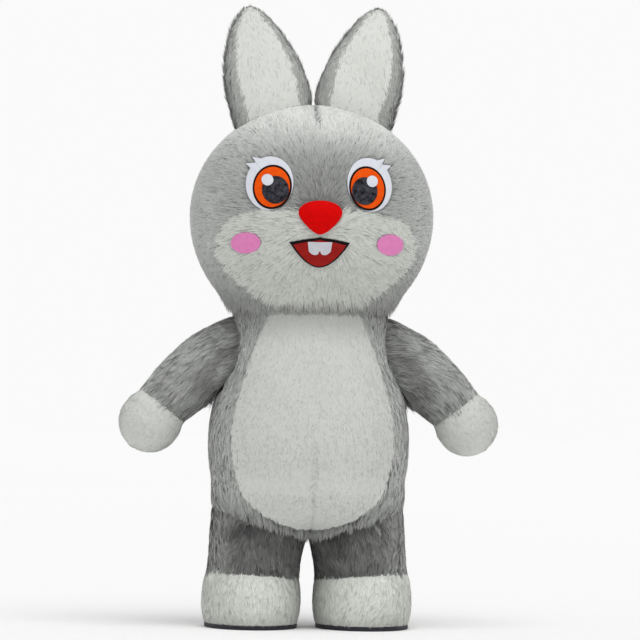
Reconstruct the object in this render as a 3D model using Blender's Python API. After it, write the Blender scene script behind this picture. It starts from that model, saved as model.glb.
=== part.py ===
"""Rabbit mascot costume of long pile cloth, standing filled out on its soles, front facing -Y."""

import math

import bmesh
import bpy
import numpy as np

# Cloth counted with its pile, so the outer face is where the pile ends.
WALL = 0.012
SHORT_WALL = 0.010
SEAM = 0.00015
LIFT = 0.0003
PATCH = 0.002

# Head: a ball wider than deep, a little lower above its widest ring than below it.
HEAD_WIDTH = 0.510
HEAD_DEPTH = 0.460
HEAD_MIDDLE = 1.722
HEAD_UP = 0.468
HEAD_DOWN = 0.500
NECK_Z = 1.335
HEAD_COLUMNS = 7

# Muzzle edge from the neck upward, half of it: height and distance from the middle.
MUZZLE_NAMES = ("z", "x")
MUZZLE_EDGE = [
    (1.335, 0.090),
    (1.354, 0.163),
    (1.388, 0.235),
    (1.425, 0.290),
    (1.471, 0.345),
    (1.517, 0.387),
    (1.588, 0.412),
    (1.645, 0.396),
    (1.697, 0.358),
    (1.726, 0.278),
    (1.738, 0.150),
]
MUZZLE_COLUMNS = 10
CROWN_ROWS = 7

# Torso: height, half width, depth to the front and to the back of each section.
TORSO_NAMES = ("z", "width", "front", "back")
TORSO_SECTIONS = [
    (0.620, 0.408, 0.356, 0.340),
    (0.720, 0.419, 0.376, 0.352),
    (0.836, 0.418, 0.382, 0.354),
    (0.920, 0.406, 0.378, 0.350),
    (1.024, 0.382, 0.366, 0.340),
    (1.116, 0.352, 0.350, 0.328),
    (1.230, 0.333, 0.322, 0.308),
    (1.335, 0.323, 0.291, 0.291),
]
TORSO_COLUMNS = 8
BARREL_Z = 0.620
CROTCH_Z = 0.380
HIP_Z = 0.514
HIP_X = 0.400
LEG_APART = 0.0003
LEG_FRONT = 0.240
LEG_BACK = 0.230
TUCK = 0.85
SEAM_EVEN = 0.1
SEAM_POWER = 3

# Belly edge from its lowest row upward.
BELLY_NAMES = ("z", "x")
BELLY_EDGE = [
    (0.424, 0.060),
    (0.438, 0.115),
    (0.465, 0.178),
    (0.514, 0.246),
    (0.585, 0.300),
    (0.690, 0.330),
    (0.820, 0.337),
    (0.905, 0.322),
    (0.945, 0.314),
    (0.980, 0.305),
    (1.025, 0.292),
    (1.075, 0.278),
    (1.130, 0.260),
    (1.190, 0.240),
    (1.250, 0.212),
    (1.290, 0.194),
    (1.315, 0.184),
    (1.335, 0.176),
]
BELLY_COLUMNS = 8

# Armhole: an upright oval in the torso's side.
ARMHOLE_LOW = 0.958
ARMHOLE_HIGH = 1.305
ARMHOLE_DEPTH = 0.155
ARM_COLUMNS = 8

# Sleeve rings: the upper and the under point of each, and half the depth.
SLEEVE_NAMES = ("upper_x", "upper_z", "under_x", "under_z", "depth")
SLEEVE_RINGS = [
    (0.400, 1.270, 0.402, 0.947, 0.156),
    (0.487, 1.222, 0.413, 0.936, 0.152),
    (0.564, 1.158, 0.434, 0.920, 0.143),
    (0.642, 1.077, 0.472, 0.892, 0.131),
    (0.709, 0.991, 0.525, 0.850, 0.118),
]

# Mitt: way along from the wrist, and half the width there.
MITT_NAMES = ("along", "width")
MITT_RINGS = [
    (0.045, 0.128),
    (0.100, 0.129),
    (0.145, 0.114),
    (0.180, 0.085),
    (0.203, 0.046),
    (0.213, 0.000),
]
MITT_FLATNESS = 0.96

# Leg and foot rings: inner and outer edge in x, height there, reach to the front and back.
RING_NAMES = ("inner_x", "inner_z", "outer_x", "outer_z", "front", "back")
LEG_RINGS = [
    (0.010, 0.348, 0.407, 0.430, 0.243, 0.232),
    (0.024, 0.288, 0.412, 0.340, 0.240, 0.230),
    (0.036, 0.220, 0.419, 0.244, 0.236, 0.226),
]
FOOT_RINGS = [
    (0.031, 0.190, 0.430, 0.208, 0.268, 0.228),
    (0.027, 0.150, 0.438, 0.160, 0.300, 0.230),
    (0.026, 0.105, 0.441, 0.105, 0.318, 0.231),
    (0.030, 0.060, 0.437, 0.060, 0.318, 0.228),
    (0.040, 0.0203, 0.427, 0.0203, 0.308, 0.220),
]
SOLE = 0.020

# Ear rings from the crown to the tip: inner and outer edge, and half the thickness.
EAR_NAMES = ("inner_x", "inner_z", "outer_x", "outer_z", "depth")
EAR_RINGS = [
    (0.004, 2.190, 0.330, 2.079, 0.075),
    (0.010, 2.232, 0.346, 2.150, 0.075),
    (0.023, 2.282, 0.366, 2.225, 0.072),
    (0.043, 2.334, 0.376, 2.300, 0.067),
    (0.067, 2.385, 0.374, 2.370, 0.061),
    (0.094, 2.430, 0.367, 2.428, 0.054),
    (0.125, 2.475, 0.356, 2.477, 0.046),
    (0.160, 2.520, 0.341, 2.522, 0.037),
    (0.195, 2.558, 0.322, 2.560, 0.027),
    (0.229, 2.585, 0.303, 2.586, 0.017),
    (0.268, 2.600, 0.268, 2.600, 0.000),
]
EAR_FRONT_COLUMNS = 8
EAR_BACK_COLUMNS = 12
EAR_BORDER_ANGLE = 36.0
EAR_WALL_SHARE = 0.45
EAR_LIFT = 0.0012

# Face, placed as seen from the front. Each oval: x and z of its middle, half width, half height.
EYE_WHITE = (0.207, 1.850, 0.095, 0.112)
IRIS = (0.196, 1.834, 0.079, 0.091)
PUPIL = (0.184, 1.827, 0.056, 0.059)
HIGHLIGHT = (0.214, 1.862, 0.0235, 0.0235)
CHEEK = (0.300, 1.603, 0.058, 0.043)
LASH_ANGLES = (52.0, 66.0)
LASH_LENGTH = 0.022
LASH_WIDTH_ANGLE = 5.0
NOSE_TOP = 1.781
NOSE_TIP = 1.641
NOSE_HALF = 0.092
NOSE_HEIGHT = 0.030
MOUTH_HALF = 0.125
MOUTH_CORNER_Z = 1.608
MOUTH_RISE = 0.018
MOUTH_DROP = 0.103
MOUTH_BORDER = 0.007
TOOTH_HALF = 0.050
TOOTH_LOW = 1.558
TOOTH_NOTCH = 0.010

# Zip in the middle of the back: half the slot, half the strip, its depth under the pile ends.
SLOT_HALF = 0.008
ZIP_HALF = 0.0076
ZIP_SINK = 0.004
ZIP_THICK = 0.003
ZIP_LOW = 0.62
ZIP_HIGH = 1.31
SLIDER_SIZE = (0.012, 0.008, 0.020)

ROUND = 28


def shade(text):
    """A sRGB hex colour as linear values."""
    parts = [int(text[i : i + 2], 16) / 255 for i in (0, 2, 4)]
    return [p / 12.92 if p <= 0.04045 else ((p + 0.055) / 1.055) ** 2.4 for p in parts]


def material(name, colour, roughness):
    made = bpy.data.materials.new(name)
    made.use_nodes = True
    surface = made.node_tree.nodes["Principled BSDF"]
    surface.inputs["Base Color"].default_value = (*shade(colour), 1.0)
    surface.inputs["Roughness"].default_value = roughness
    surface.inputs["Metallic"].default_value = 0.0
    made.diffuse_color = (*shade(colour), 1.0)
    return made


def column(table, names, name):
    return np.array([row[names.index(name)] for row in table])


def smooth(xs, ys, at):
    """A curve without corners through the table's points."""
    slopes = np.gradient(ys, xs)
    k = np.clip(np.searchsorted(xs, at) - 1, 0, len(xs) - 2)
    step = xs[k + 1] - xs[k]
    t = (at - xs[k]) / step
    start = (1 + 2 * t) * (1 - t) ** 2 * ys[k] + t * (1 - t) ** 2 * step * slopes[k]
    end = t**2 * (3 - 2 * t) * ys[k + 1] + t**2 * (t - 1) * step * slopes[k + 1]
    return start + end


def unit(v):
    return v / np.maximum(np.linalg.norm(v, axis=-1, keepdims=True), 1e-12)


def head_point(params):
    """The head's face at an angle round it (0 in front) and an angle up, in degrees."""
    turn, up = np.radians(params[..., 0]), np.radians(params[..., 1])
    rise = np.where(up > 0, HEAD_UP, HEAD_DOWN)
    x = HEAD_WIDTH * np.cos(up) * np.sin(turn)
    y = -HEAD_DEPTH * np.cos(up) * np.cos(turn)
    return np.stack([x, y, HEAD_MIDDLE + rise * np.sin(up)], -1)


def head_normal(points):
    rise = np.where(points[..., 2] > HEAD_MIDDLE, HEAD_UP, HEAD_DOWN)
    x = points[..., 0] / HEAD_WIDTH**2
    y = points[..., 1] / HEAD_DEPTH**2
    return unit(np.stack([x, y, (points[..., 2] - HEAD_MIDDLE) / rise**2], -1))


def head_params(x, z):
    """The angles of a point on the head's front seen at x and z."""
    x, z = np.broadcast_arrays(np.asarray(x, float), np.asarray(z, float))
    rise = np.where(z > HEAD_MIDDLE, HEAD_UP, HEAD_DOWN)
    up = np.arcsin((z - HEAD_MIDDLE) / rise)
    turn = np.arcsin(np.clip(x / (HEAD_WIDTH * np.cos(up)), -1, 1))
    return np.stack([np.degrees(turn), np.degrees(up)], -1)


def crown_height(x, y):
    inside = 1 - (x / HEAD_WIDTH) ** 2 - (y / HEAD_DEPTH) ** 2
    return HEAD_MIDDLE + HEAD_UP * np.sqrt(inside)


def torso_ring(turn, z):
    at = column(TORSO_SECTIONS, TORSO_NAMES, "z")
    width = smooth(at, column(TORSO_SECTIONS, TORSO_NAMES, "width"), z)
    front = smooth(at, column(TORSO_SECTIONS, TORSO_NAMES, "front"), z)
    back = smooth(at, column(TORSO_SECTIONS, TORSO_NAMES, "back"), z)
    depth = np.where(np.cos(turn) > 0, front, back)
    return np.stack([width * np.sin(turn), -depth * np.cos(turn), z], -1)


def leg_hole(turn):
    """The lower edge of the torso: round one leg, from the hip to the crotch."""
    side = np.where(np.sin(turn) < 0, -1.0, 1.0)
    part = 2 * np.arccos(np.clip(np.abs(np.sin(turn)), 0, 1))
    x = side * HIP_X / 2 * (1 + np.cos(part))
    y = np.where(np.cos(turn) > 0, -LEG_FRONT, LEG_BACK) * np.sin(part)
    z = (HIP_Z + CROTCH_Z) / 2 + (HIP_Z - CROTCH_Z) / 2 * np.cos(part)
    return np.stack([x, y, z], -1)


def torso_point(params):
    """The torso's face at an angle round it (0 in front, 90 at the left side) and a height."""
    turn, level = np.radians(params[..., 0]), params[..., 1]
    ring = torso_ring(turn, np.maximum(level, BARREL_Z))
    hole = leg_hole(turn)
    low = ring.copy()
    low[..., 2] -= TUCK * (ring[..., 2] - hole[..., 2])
    s = np.clip((BARREL_Z - level) / (BARREL_Z - CROTCH_Z), 0, 1)[..., None]
    under = (1 - s) ** 2 * ring + 2 * s * (1 - s) * low + s**2 * hole
    return np.where(s > 0, under, ring)


def torso_normal(params):
    step = 0.05
    turned = params + np.array([step, 0.0])
    back = params - np.array([step, 0.0])
    level = params[..., 1]
    up = np.stack([params[..., 0], np.minimum(level + 0.001, NECK_Z)], -1)
    down = np.stack([params[..., 0], np.maximum(level - 0.001, CROTCH_Z)], -1)
    round_way = torso_point(turned) - torso_point(back)
    rise = torso_point(up) - torso_point(down)
    normals = unit(np.cross(round_way, rise))
    crotch = (np.abs(np.sin(np.radians(params[..., 0]))) < 1e-6) & (level < CROTCH_Z + 1e-6)
    normals[crotch] = (0.0, 0.0, -1.0)
    return normals


def torso_params(x, z):
    """The angle and level of the torso's front seen at x and z, found in a few steps."""
    guess = np.array([30.0, max(z, 0.45)])
    for _ in range(40):
        here = torso_point(guess)
        miss = np.array([here[0] - x, here[2] - z])
        if np.abs(miss).max() < 1e-7:
            break
        turn = torso_point(guess + np.array([0.01, 0.0]))
        rise = torso_point(guess + np.array([0.0, -0.0001]))
        moves = np.array(
            [
                [(turn[0] - here[0]) / 0.01, (rise[0] - here[0]) / -0.0001],
                [(turn[2] - here[2]) / 0.01, (rise[2] - here[2]) / -0.0001],
            ]
        )
        change = np.linalg.solve(moves, miss)
        guess = guess - np.clip(change, [-8.0, -0.05], [8.0, 0.05])
        guess[0] = np.clip(guess[0], 0.0, 89.0)
        guess[1] = np.clip(guess[1], CROTCH_Z + 0.0002, NECK_Z)
    return guess


def strip(rail_a, rail_b, columns):
    """Rows of surface angles from one rail to the other."""
    t = np.linspace(0, 1, columns + 1)[None, :, None]
    return rail_a[:, None] * (1 - t) + rail_b[:, None] * t


def ring_normals(grid):
    """Outward normals of closed rings, a tip ring taking the way the body ends."""
    across = np.roll(grid, -1, 1) - np.roll(grid, 1, 1)
    tip = np.abs(across[-1]).max() < 1e-6
    if tip:
        across[-1] = across[-2]
    normals = unit(np.cross(across, np.gradient(grid, axis=0)))
    if np.sum((grid - grid.mean(1, keepdims=True)) * normals) < 0:
        normals = -normals
    if tip:
        normals[-1] = unit(grid[-1, 0] - grid[-2].mean(0))
    return normals


def inset(grid, normals, sides, pinched):
    """Edges moved into the piece by the seam gap. Sides are row0, row1, col0, col1."""
    shift = np.zeros_like(grid)
    rows, cols = grid.shape[:2]
    edges = {
        "row0": (np.s_[0, :], np.s_[1, :]),
        "row1": (np.s_[rows - 1, :], np.s_[rows - 2, :]),
        "col0": (np.s_[:, 0], np.s_[:, 1]),
        "col1": (np.s_[:, cols - 1], np.s_[:, cols - 2]),
    }
    for side in sides:
        edge, next_edge = edges[side]
        tangent = unit(np.gradient(grid[edge], axis=0))
        inward = unit(np.cross(normals[edge], tangent))
        sign = np.sign(np.sum((grid[next_edge] - grid[edge]) * inward))
        shift[edge] += sign * inward * SEAM
    if pinched:
        shift[-1] = shift[-1, 0] + shift[-1, -1]
    return grid + shift


def mitred(outer, normals, thickness, others):
    """The inner face: along the normals, and along both pieces' normals where they meet at an angle."""
    inner = outer - thickness * normals
    if others is None:
        return inner
    given = ~np.isnan(others[..., 0])
    both = normals[given] + others[given]
    share = 1 + np.sum(normals[given] * others[given], -1, keepdims=True)
    inner[given] = outer[given] - thickness * both / np.maximum(share, 0.4)
    return inner


def edge_key(point):
    """Orders the two ends of a seam alike in both pieces and on both sides of the body."""
    return (round(point[2], 3), round(abs(point[0]), 3), round(abs(point[1]), 3))


def shell_mesh(outer, inner):
    """A closed body between two like grids, each cell cut along the same diagonal."""
    rows, cols = outer.shape[:2]
    count = rows * cols
    points = np.concatenate([outer.reshape(-1, 3), inner.reshape(-1, 3)])
    faces = []
    for r in range(rows - 1):
        for c in range(cols - 1):
            a = r * cols + c
            b, d = a + 1, a + cols
            e = d + 1
            faces += [(a, b, e), (a, e, d)]
            faces += [(count + a, count + e, count + b), (count + a, count + d, count + e)]
    rim = [c for c in range(cols)]
    rim += [r * cols + cols - 1 for r in range(1, rows)]
    rim += [(rows - 1) * cols + c for c in range(cols - 2, -1, -1)]
    rim += [r * cols for r in range(rows - 2, 0, -1)]
    for k, a in enumerate(rim):
        b = rim[(k + 1) % len(rim)]
        if edge_key(points[a]) > edge_key(points[b]):
            a, b = b, a
        faces += [(a, count + a, count + b), (a, count + b, b)]
    return points, faces


def mesh_object(name, points, faces, surface, home):
    """One named object, its origin at its own middle."""
    middle = (points.max(0) + points.min(0)) / 2
    mesh = bpy.data.meshes.new(name)
    body = bmesh.new()
    made = [body.verts.new(p) for p in (points - middle).tolist()]
    for face in faces:
        if len({tuple(points[i]) for i in face}) == len(face):
            body.faces.new([made[i] for i in face])
    bmesh.ops.remove_doubles(body, verts=body.verts, dist=1e-6)
    bmesh.ops.dissolve_degenerate(body, edges=body.edges, dist=1e-6)
    loose = [v for v in body.verts if not v.link_faces]
    bmesh.ops.delete(body, geom=loose, context="VERTS")
    bmesh.ops.recalc_face_normals(body, faces=body.faces)
    if body.calc_volume(signed=True) < 0:
        bmesh.ops.reverse_faces(body, faces=body.faces)
    body.to_mesh(mesh)
    body.free()
    mesh.materials.append(surface)
    made_object = bpy.data.objects.new(name, mesh)
    made_object.location = middle.tolist()
    home.objects.link(made_object)
    return made_object


def both_sides(name, outer, inner, surface, home):
    """The left piece and its mirror on the right."""
    for side, sign in (("left", 1.0), ("right", -1.0)):
        flip = np.array([sign, 1.0, 1.0])
        points, faces = shell_mesh(outer * flip, inner * flip)
        mesh_object(name.format(side), points, faces, surface, home)


def oval(sizes, count):
    x, z, half_x, half_z = sizes
    angle = np.linspace(0, 2 * np.pi, count, endpoint=False)
    return np.stack([x + half_x * np.cos(angle), z + half_z * np.sin(angle)], -1)


def eye_outline():
    """The white of the eye with two short lash points at its outer upper side."""
    x, z, half_x, half_z = EYE_WHITE
    points = []
    for degree in np.arange(0.0, 360.0, 12.0):
        near = [a for a in LASH_ANGLES if abs(degree - a) < LASH_WIDTH_ANGLE + 4]
        if not near:
            points.append((degree, 0.0))
    for middle in LASH_ANGLES:
        points += [(middle - LASH_WIDTH_ANGLE, 0.0), (middle, LASH_LENGTH)]
        points += [(middle + LASH_WIDTH_ANGLE, 0.0)]
    outline = []
    for degree, extra in sorted(points):
        a = math.radians(degree)
        reach_x, reach_z = half_x + extra, half_z + extra
        outline.append((x + reach_x * math.cos(a), z + reach_z * math.sin(a)))
    return np.array(outline)


def mouth_outline(border):
    """An open smile: a low arch above, a deep bow below, made smaller by the border."""
    half = MOUTH_HALF - 1.6 * border
    t = np.linspace(-1, 1, 13)
    top = MOUTH_CORNER_Z + MOUTH_RISE * (1 - t**2) - border
    drop = MOUTH_DROP - 1.6 * border
    bottom = MOUTH_CORNER_Z - border - drop * (1 - np.abs(t) ** 1.9)
    upper = np.stack([t * half, top], -1)
    lower = np.stack([t[::-1] * half, bottom[::-1]], -1)[1:-1]
    return np.concatenate([upper, lower])


def teeth_outline():
    top = MOUTH_CORNER_Z + MOUTH_RISE - MOUTH_BORDER - 0.006
    low, notch, half = TOOTH_LOW, TOOTH_NOTCH, TOOTH_HALF
    right = [(half, top), (half * 0.98, low + 0.016), (half * 0.82, low + 0.003)]
    right += [(half * 0.5, low), (half * 0.14, low + 0.003), (0.0, low + notch)]
    left = [(-x, z) for x, z in right[::-1][1:]]
    return np.array(right + left)[::-1]


def prism(name, outline, home):
    """A cutter: an outline seen from the front, drawn out through the face."""
    count = len(outline)
    near = np.stack([outline[:, 0], np.full(count, -0.8), outline[:, 1]], -1)
    far = near + np.array([0.0, 0.8, 0.0])
    points = np.concatenate([near, far])
    faces = [tuple(range(count)), tuple(range(2 * count - 1, count - 1, -1))]
    for k in range(count):
        n = (k + 1) % count
        faces.append((k, n, count + n, count + k))
    cutter = mesh_object(name, points, faces, None, home)
    cutter.hide_render = True
    cutter.display_type = "WIRE"
    return cutter


def patch(name, grid, normals, level, outline, surface, home, cutters):
    """A flat piece on a panel: a layer made from the panel's points, cut to the outline."""
    low = LIFT + level * (PATCH + LIFT)
    points, faces = shell_mesh(grid + normals * (low + PATCH), grid + normals * low)
    made = mesh_object(name, points, faces, surface, home)
    cutter = prism(name + "_cutter", outline, cutters)
    bpy.context.view_layer.update()
    cut = made.modifiers.new("outline", "BOOLEAN")
    cut.operation = "INTERSECT"
    cut.solver = "EXACT"
    cut.object = cutter
    apply_modifier(made)
    return made


def apply_modifier(made):
    """The cut shape taken over as the object's own mesh."""
    depsgraph = bpy.context.evaluated_depsgraph_get()
    shape = bpy.data.meshes.new_from_object(made.evaluated_get(depsgraph))
    made.modifiers.clear()
    made.data = shape


def oval_ring(inner, outer, inner_z, outer_z, front, back, angles):
    """A ring of a leg or foot: angle 0 at the outer side, 180 at the inner side."""
    middle_x, half_x = (inner + outer) / 2, (outer - inner) / 2
    middle_z, half_z = (inner_z + outer_z) / 2, (outer_z - inner_z) / 2
    reach = np.where(np.sin(angles) > 0, -front, back)
    x = middle_x + half_x * np.cos(angles)
    y = reach * np.abs(np.sin(angles))
    return np.stack([x, y, middle_z + half_z * np.cos(angles)], -1)


def build_head(home, looks):
    edge_z = column(MUZZLE_EDGE, MUZZLE_NAMES, "z")
    edge_x = column(MUZZLE_EDGE, MUZZLE_NAMES, "x")
    left = head_params(-edge_x, edge_z)
    right = head_params(edge_x, edge_z)
    muzzle = strip(left, right, MUZZLE_COLUMNS)
    half = MUZZLE_COLUMNS // 2
    top_row = muzzle[-1, half:][::-1][1:]
    top_up = head_params(0.0, edge_z[-1])[1]
    crown = np.stack([np.zeros(CROWN_ROWS), np.linspace(top_up, 90, CROWN_ROWS + 1)[1:]], -1)
    rail_b = np.concatenate([right, top_row, crown])
    run = np.linalg.norm(np.diff(head_point(rail_b), axis=0), axis=-1)
    by_length = np.concatenate([[0], np.cumsum(run)]) / run.sum()
    share = (by_length + np.linspace(0, 1, len(by_length))) / 2
    start = head_params(0.0, NECK_Z)[1]
    ups = start + (90 - start) * share
    rail_a = np.stack([np.full(len(ups), 90.0), ups], -1)
    rail_back = np.stack([np.full(len(ups), 180.0), ups], -1)
    grids = {}
    pieces = (
        ("muzzle", muzzle, ("col0", "col1", "row0", "row1"), False),
        ("head_front_{}", strip(rail_a, rail_b, HEAD_COLUMNS), ("col0", "col1", "row0"), True),
        ("head_back_{}", strip(rail_back, rail_a, HEAD_COLUMNS), ("col0", "col1", "row0"), True),
    )
    for name, params, sides, pinched in pieces:
        plain = head_point(params)
        normals = head_normal(plain)
        outer = inset(plain, normals, sides, pinched)
        inner = outer - WALL * normals
        flat = unit(normals[0] * np.array([1.0, 1.0, 0.0]))
        slope = np.linalg.norm(normals[0, :, :2], axis=-1, keepdims=True)
        inner[0] = outer[0] - flat * WALL / slope
        outer[0, :, 2] = NECK_Z + SEAM
        inner[0, :, 2] = NECK_Z + SEAM
        grids[name] = (outer, normals)
        if "{}" in name:
            both_sides(name, outer, inner, looks["gray_long_pile"], home)
        else:
            points, faces = shell_mesh(outer, inner)
            mesh_object(name, points, faces, looks["white_pile"], home)
    return grids


def build_face(grids, home, cutters, looks):
    front, front_normals = grids["head_front_{}"]
    eye_parts = (
        ("eye_white_{}", 0, eye_outline(), "eye_white_cloth"),
        ("iris_{}", 1, oval(IRIS, ROUND), "iris_orange_cloth"),
        ("pupil_{}", 2, oval(PUPIL, ROUND), "pupil_black_cloth"),
        ("eye_highlight_{}", 3, oval(HIGHLIGHT, 16), "eye_white_cloth"),
    )
    muzzle, muzzle_normals = grids["muzzle"]
    for side, sign in (("left", 1.0), ("right", -1.0)):
        flip = np.array([sign, 1.0, 1.0])
        for name, level, outline, look in eye_parts:
            mirrored = outline * np.array([sign, 1.0])
            patch(
                name.format(side),
                front * flip,
                front_normals * flip,
                level,
                mirrored,
                looks[look],
                home,
                cutters,
            )
        cheek = oval(CHEEK, ROUND) * np.array([sign, 1.0])
        patch(
            "cheek_" + side,
            muzzle,
            muzzle_normals,
            0,
            cheek,
            looks["cheek_pink_cloth"],
            home,
            cutters,
        )
    mouth_parts = (
        ("mouth_edge", 0, mouth_outline(0.0), "mouth_edge_black_cloth"),
        ("mouth", 1, mouth_outline(MOUTH_BORDER), "mouth_red_cloth"),
        ("teeth", 2, teeth_outline(), "teeth_white_cloth"),
    )
    for name, level, outline, look in mouth_parts:
        patch(name, muzzle, muzzle_normals, level, outline, looks[look], home, cutters)


def nose_outline(count):
    """A triangle with round corners, point down."""
    angle = np.linspace(0, 2 * np.pi, count, endpoint=False)
    middle = (NOSE_TOP + NOSE_TIP) / 2 + 0.010
    x = NOSE_HALF * np.cos(angle) * (1 + 0.16 * np.sin(angle)) / 1.03
    up = np.sin(angle)
    z = np.where(up > 0, middle + (NOSE_TOP - middle) * up, middle + (middle - NOSE_TIP) * up)
    pull = 1 - 0.30 * np.clip(-up, 0, 1) ** 1.2
    return np.stack([x * pull, z], -1), np.array([0.0, middle])


def build_nose(home, looks):
    outline, middle = nose_outline(24)
    shares = np.array([0.0, 0.45, 0.80, 1.0])
    rise = NOSE_HEIGHT * np.sqrt(1 - (shares * 0.985) ** 2)
    points = []
    for top in (True, False):
        for share, height in zip(shares, rise):
            flat = middle + (outline - middle) * share
            base = head_point(head_params(flat[:, 0], flat[:, 1]))
            out = 2 * LIFT + (height if top else 0.0)
            points.append(base + head_normal(base) * out)
    top_grid = np.stack(points[:4])
    low_grid = np.stack(points[4:])
    all_points, faces = [], []
    count = len(outline)
    for grid in (top_grid, low_grid):
        start = len(all_points)
        all_points.append(grid[0, 0])
        for ring in grid[1:]:
            all_points.extend(ring)
        for k in range(count):
            n = (k + 1) % count
            faces.append((start, start + 1 + k, start + 1 + n))
            for r in range(len(grid) - 2):
                a = start + 1 + r * count
                faces.append((a + k, a + count + k, a + count + n))
                faces.append((a + k, a + count + n, a + n))
    size = len(all_points) // 2
    rim = 1 + 2 * count
    for k in range(count):
        n = (k + 1) % count
        faces.append((rim + k, size + rim + k, size + rim + n))
        faces.append((rim + k, size + rim + n, rim + n))
    mesh_object("nose", np.array(all_points), faces, looks["nose_red_cloth"], home)


def build_ears(home, looks):
    border = math.radians(EAR_BORDER_ANGLE)
    front = np.linspace(np.pi + border, 2 * np.pi - border, EAR_FRONT_COLUMNS + 1)
    back = np.linspace(-border, np.pi + border, EAR_BACK_COLUMNS + 1)
    rings = {name: column(EAR_RINGS, EAR_NAMES, name) for name in EAR_NAMES}

    def section(angles):
        share = (np.cos(angles)[None, :] + 1) / 2
        x = rings["inner_x"][:, None] * (1 - share) + rings["outer_x"][:, None] * share
        z = rings["inner_z"][:, None] * (1 - share) + rings["outer_z"][:, None] * share
        y = rings["depth"][:, None] * np.sin(angles)[None, :]
        return np.stack([x, y, z], -1)

    full_angles = np.concatenate([back[:-1], front[:-1]])
    full = section(full_angles)
    full[0, :, 2] = crown_height(full[0, :, 0], full[0, :, 1])
    normals = ring_normals(full)
    split = EAR_BACK_COLUMNS
    wrapped = np.concatenate([full[:, split:], full[:, :1]], 1)
    wrapped_normals = np.concatenate([normals[:, split:], normals[:, :1]], 1)
    pieces = (
        ("ear_{}_back", full[:, : split + 1], normals[:, : split + 1], "gray_long_pile"),
        ("ear_{}_inner", wrapped, wrapped_normals, "white_short_pile"),
    )
    for name, grid, grid_normals, look in pieces:
        outer = inset(grid, grid_normals, ("col0", "col1"), True)
        wall = np.minimum(SHORT_WALL, EAR_WALL_SHARE * rings["depth"])[:, None, None]
        inner = outer - wall * grid_normals
        inner[-1] = outer[-1] - np.array([0.0, 0.0, SHORT_WALL / 2])
        for edge in (outer, inner):
            edge[0, :, 2] = crown_height(edge[0, :, 0], edge[0, :, 1]) + EAR_LIFT
        both_sides(name, outer, inner, looks[look], home)


def armhole_params():
    beat = np.radians(np.linspace(-90, 90, ARM_COLUMNS + 1))
    level = (ARMHOLE_LOW + ARMHOLE_HIGH) / 2 + (ARMHOLE_HIGH - ARMHOLE_LOW) / 2 * np.sin(beat)
    at = column(TORSO_SECTIONS, TORSO_NAMES, "z")
    depth = smooth(at, column(TORSO_SECTIONS, TORSO_NAMES, "front"), level)
    open_angle = np.degrees(np.arcsin(ARMHOLE_DEPTH * np.cos(beat) / depth))
    return np.stack([90 - open_angle, level], -1)


def sleeve_rings(root):
    """Rings of the arm from the armhole to the tip of the mitt, closed round, under point first."""
    front = np.radians(np.linspace(-90, 90, ARM_COLUMNS + 1))
    rings = [root]
    for row in SLEEVE_RINGS:
        part = dict(zip(SLEEVE_NAMES, row))
        upper = np.array([part["upper_x"], 0.0, part["upper_z"]])
        under = np.array([part["under_x"], 0.0, part["under_z"]])
        rings.append(arm_ring((upper + under) / 2, (upper - under) / 2, part["depth"], front))
    wrist = dict(zip(SLEEVE_NAMES, SLEEVE_RINGS[-1]))
    upper = np.array([wrist["upper_x"], 0.0, wrist["upper_z"]])
    under = np.array([wrist["under_x"], 0.0, wrist["under_z"]])
    across = unit(upper - under)
    along = np.array([across[2], 0.0, -across[0]])
    for way, width in MITT_RINGS:
        middle = (upper + under) / 2 + along * way
        rings.append(arm_ring(middle, across * width, width * MITT_FLATNESS, front))
    return np.stack(rings)


def arm_ring(middle, half, depth, front):
    sine, cosine = np.sin(front)[:, None], np.cos(front)
    front_side = middle + half * sine
    front_side[:, 1] = -depth * cosine
    back_side = (front_side * np.array([1.0, -1.0, 1.0]))[::-1][1:-1]
    return np.concatenate([front_side, back_side])


def build_arms(root, torso_normals, home, looks):
    rings = sleeve_rings(root)
    normals = ring_normals(rings)
    wrist = len(SLEEVE_RINGS)
    half = ARM_COLUMNS
    halves = {"front": np.arange(half + 1), "back": np.arange(half, 2 * half + 1) % (2 * half)}
    for name, pick in halves.items():
        grid, grid_normals = rings[: wrist + 1, pick], normals[: wrist + 1, pick]
        outer = inset(grid, grid_normals, ("col0", "col1", "row0", "row1"), False)
        others = np.full_like(grid, np.nan)
        others[0] = torso_normals[pick]
        inner = mitred(outer, grid_normals, WALL, others)
        both_sides("sleeve_{}_" + name, outer, inner, looks["gray_long_pile"], home)
        grid, grid_normals = rings[wrist:, pick], normals[wrist:, pick]
        outer = inset(grid, grid_normals, ("col0", "col1", "row0"), True)
        inner = outer - WALL * grid_normals
        both_sides("mitt_{}_" + name, outer, inner, looks["white_short_pile"], home)
    return normals[0]


def leg_rings(hole):
    angles = np.radians(np.linspace(0, 360, 4 * (TORSO_COLUMNS // 2) + 1)[:-1])
    rings = [hole]
    for row in LEG_RINGS + FOOT_RINGS:
        part = dict(zip(RING_NAMES, row))
        rings.append(
            oval_ring(
                part["inner_x"],
                part["outer_x"],
                part["inner_z"],
                part["outer_z"],
                part["front"],
                part["back"],
                angles,
            )
        )
    return np.stack(rings)


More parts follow.
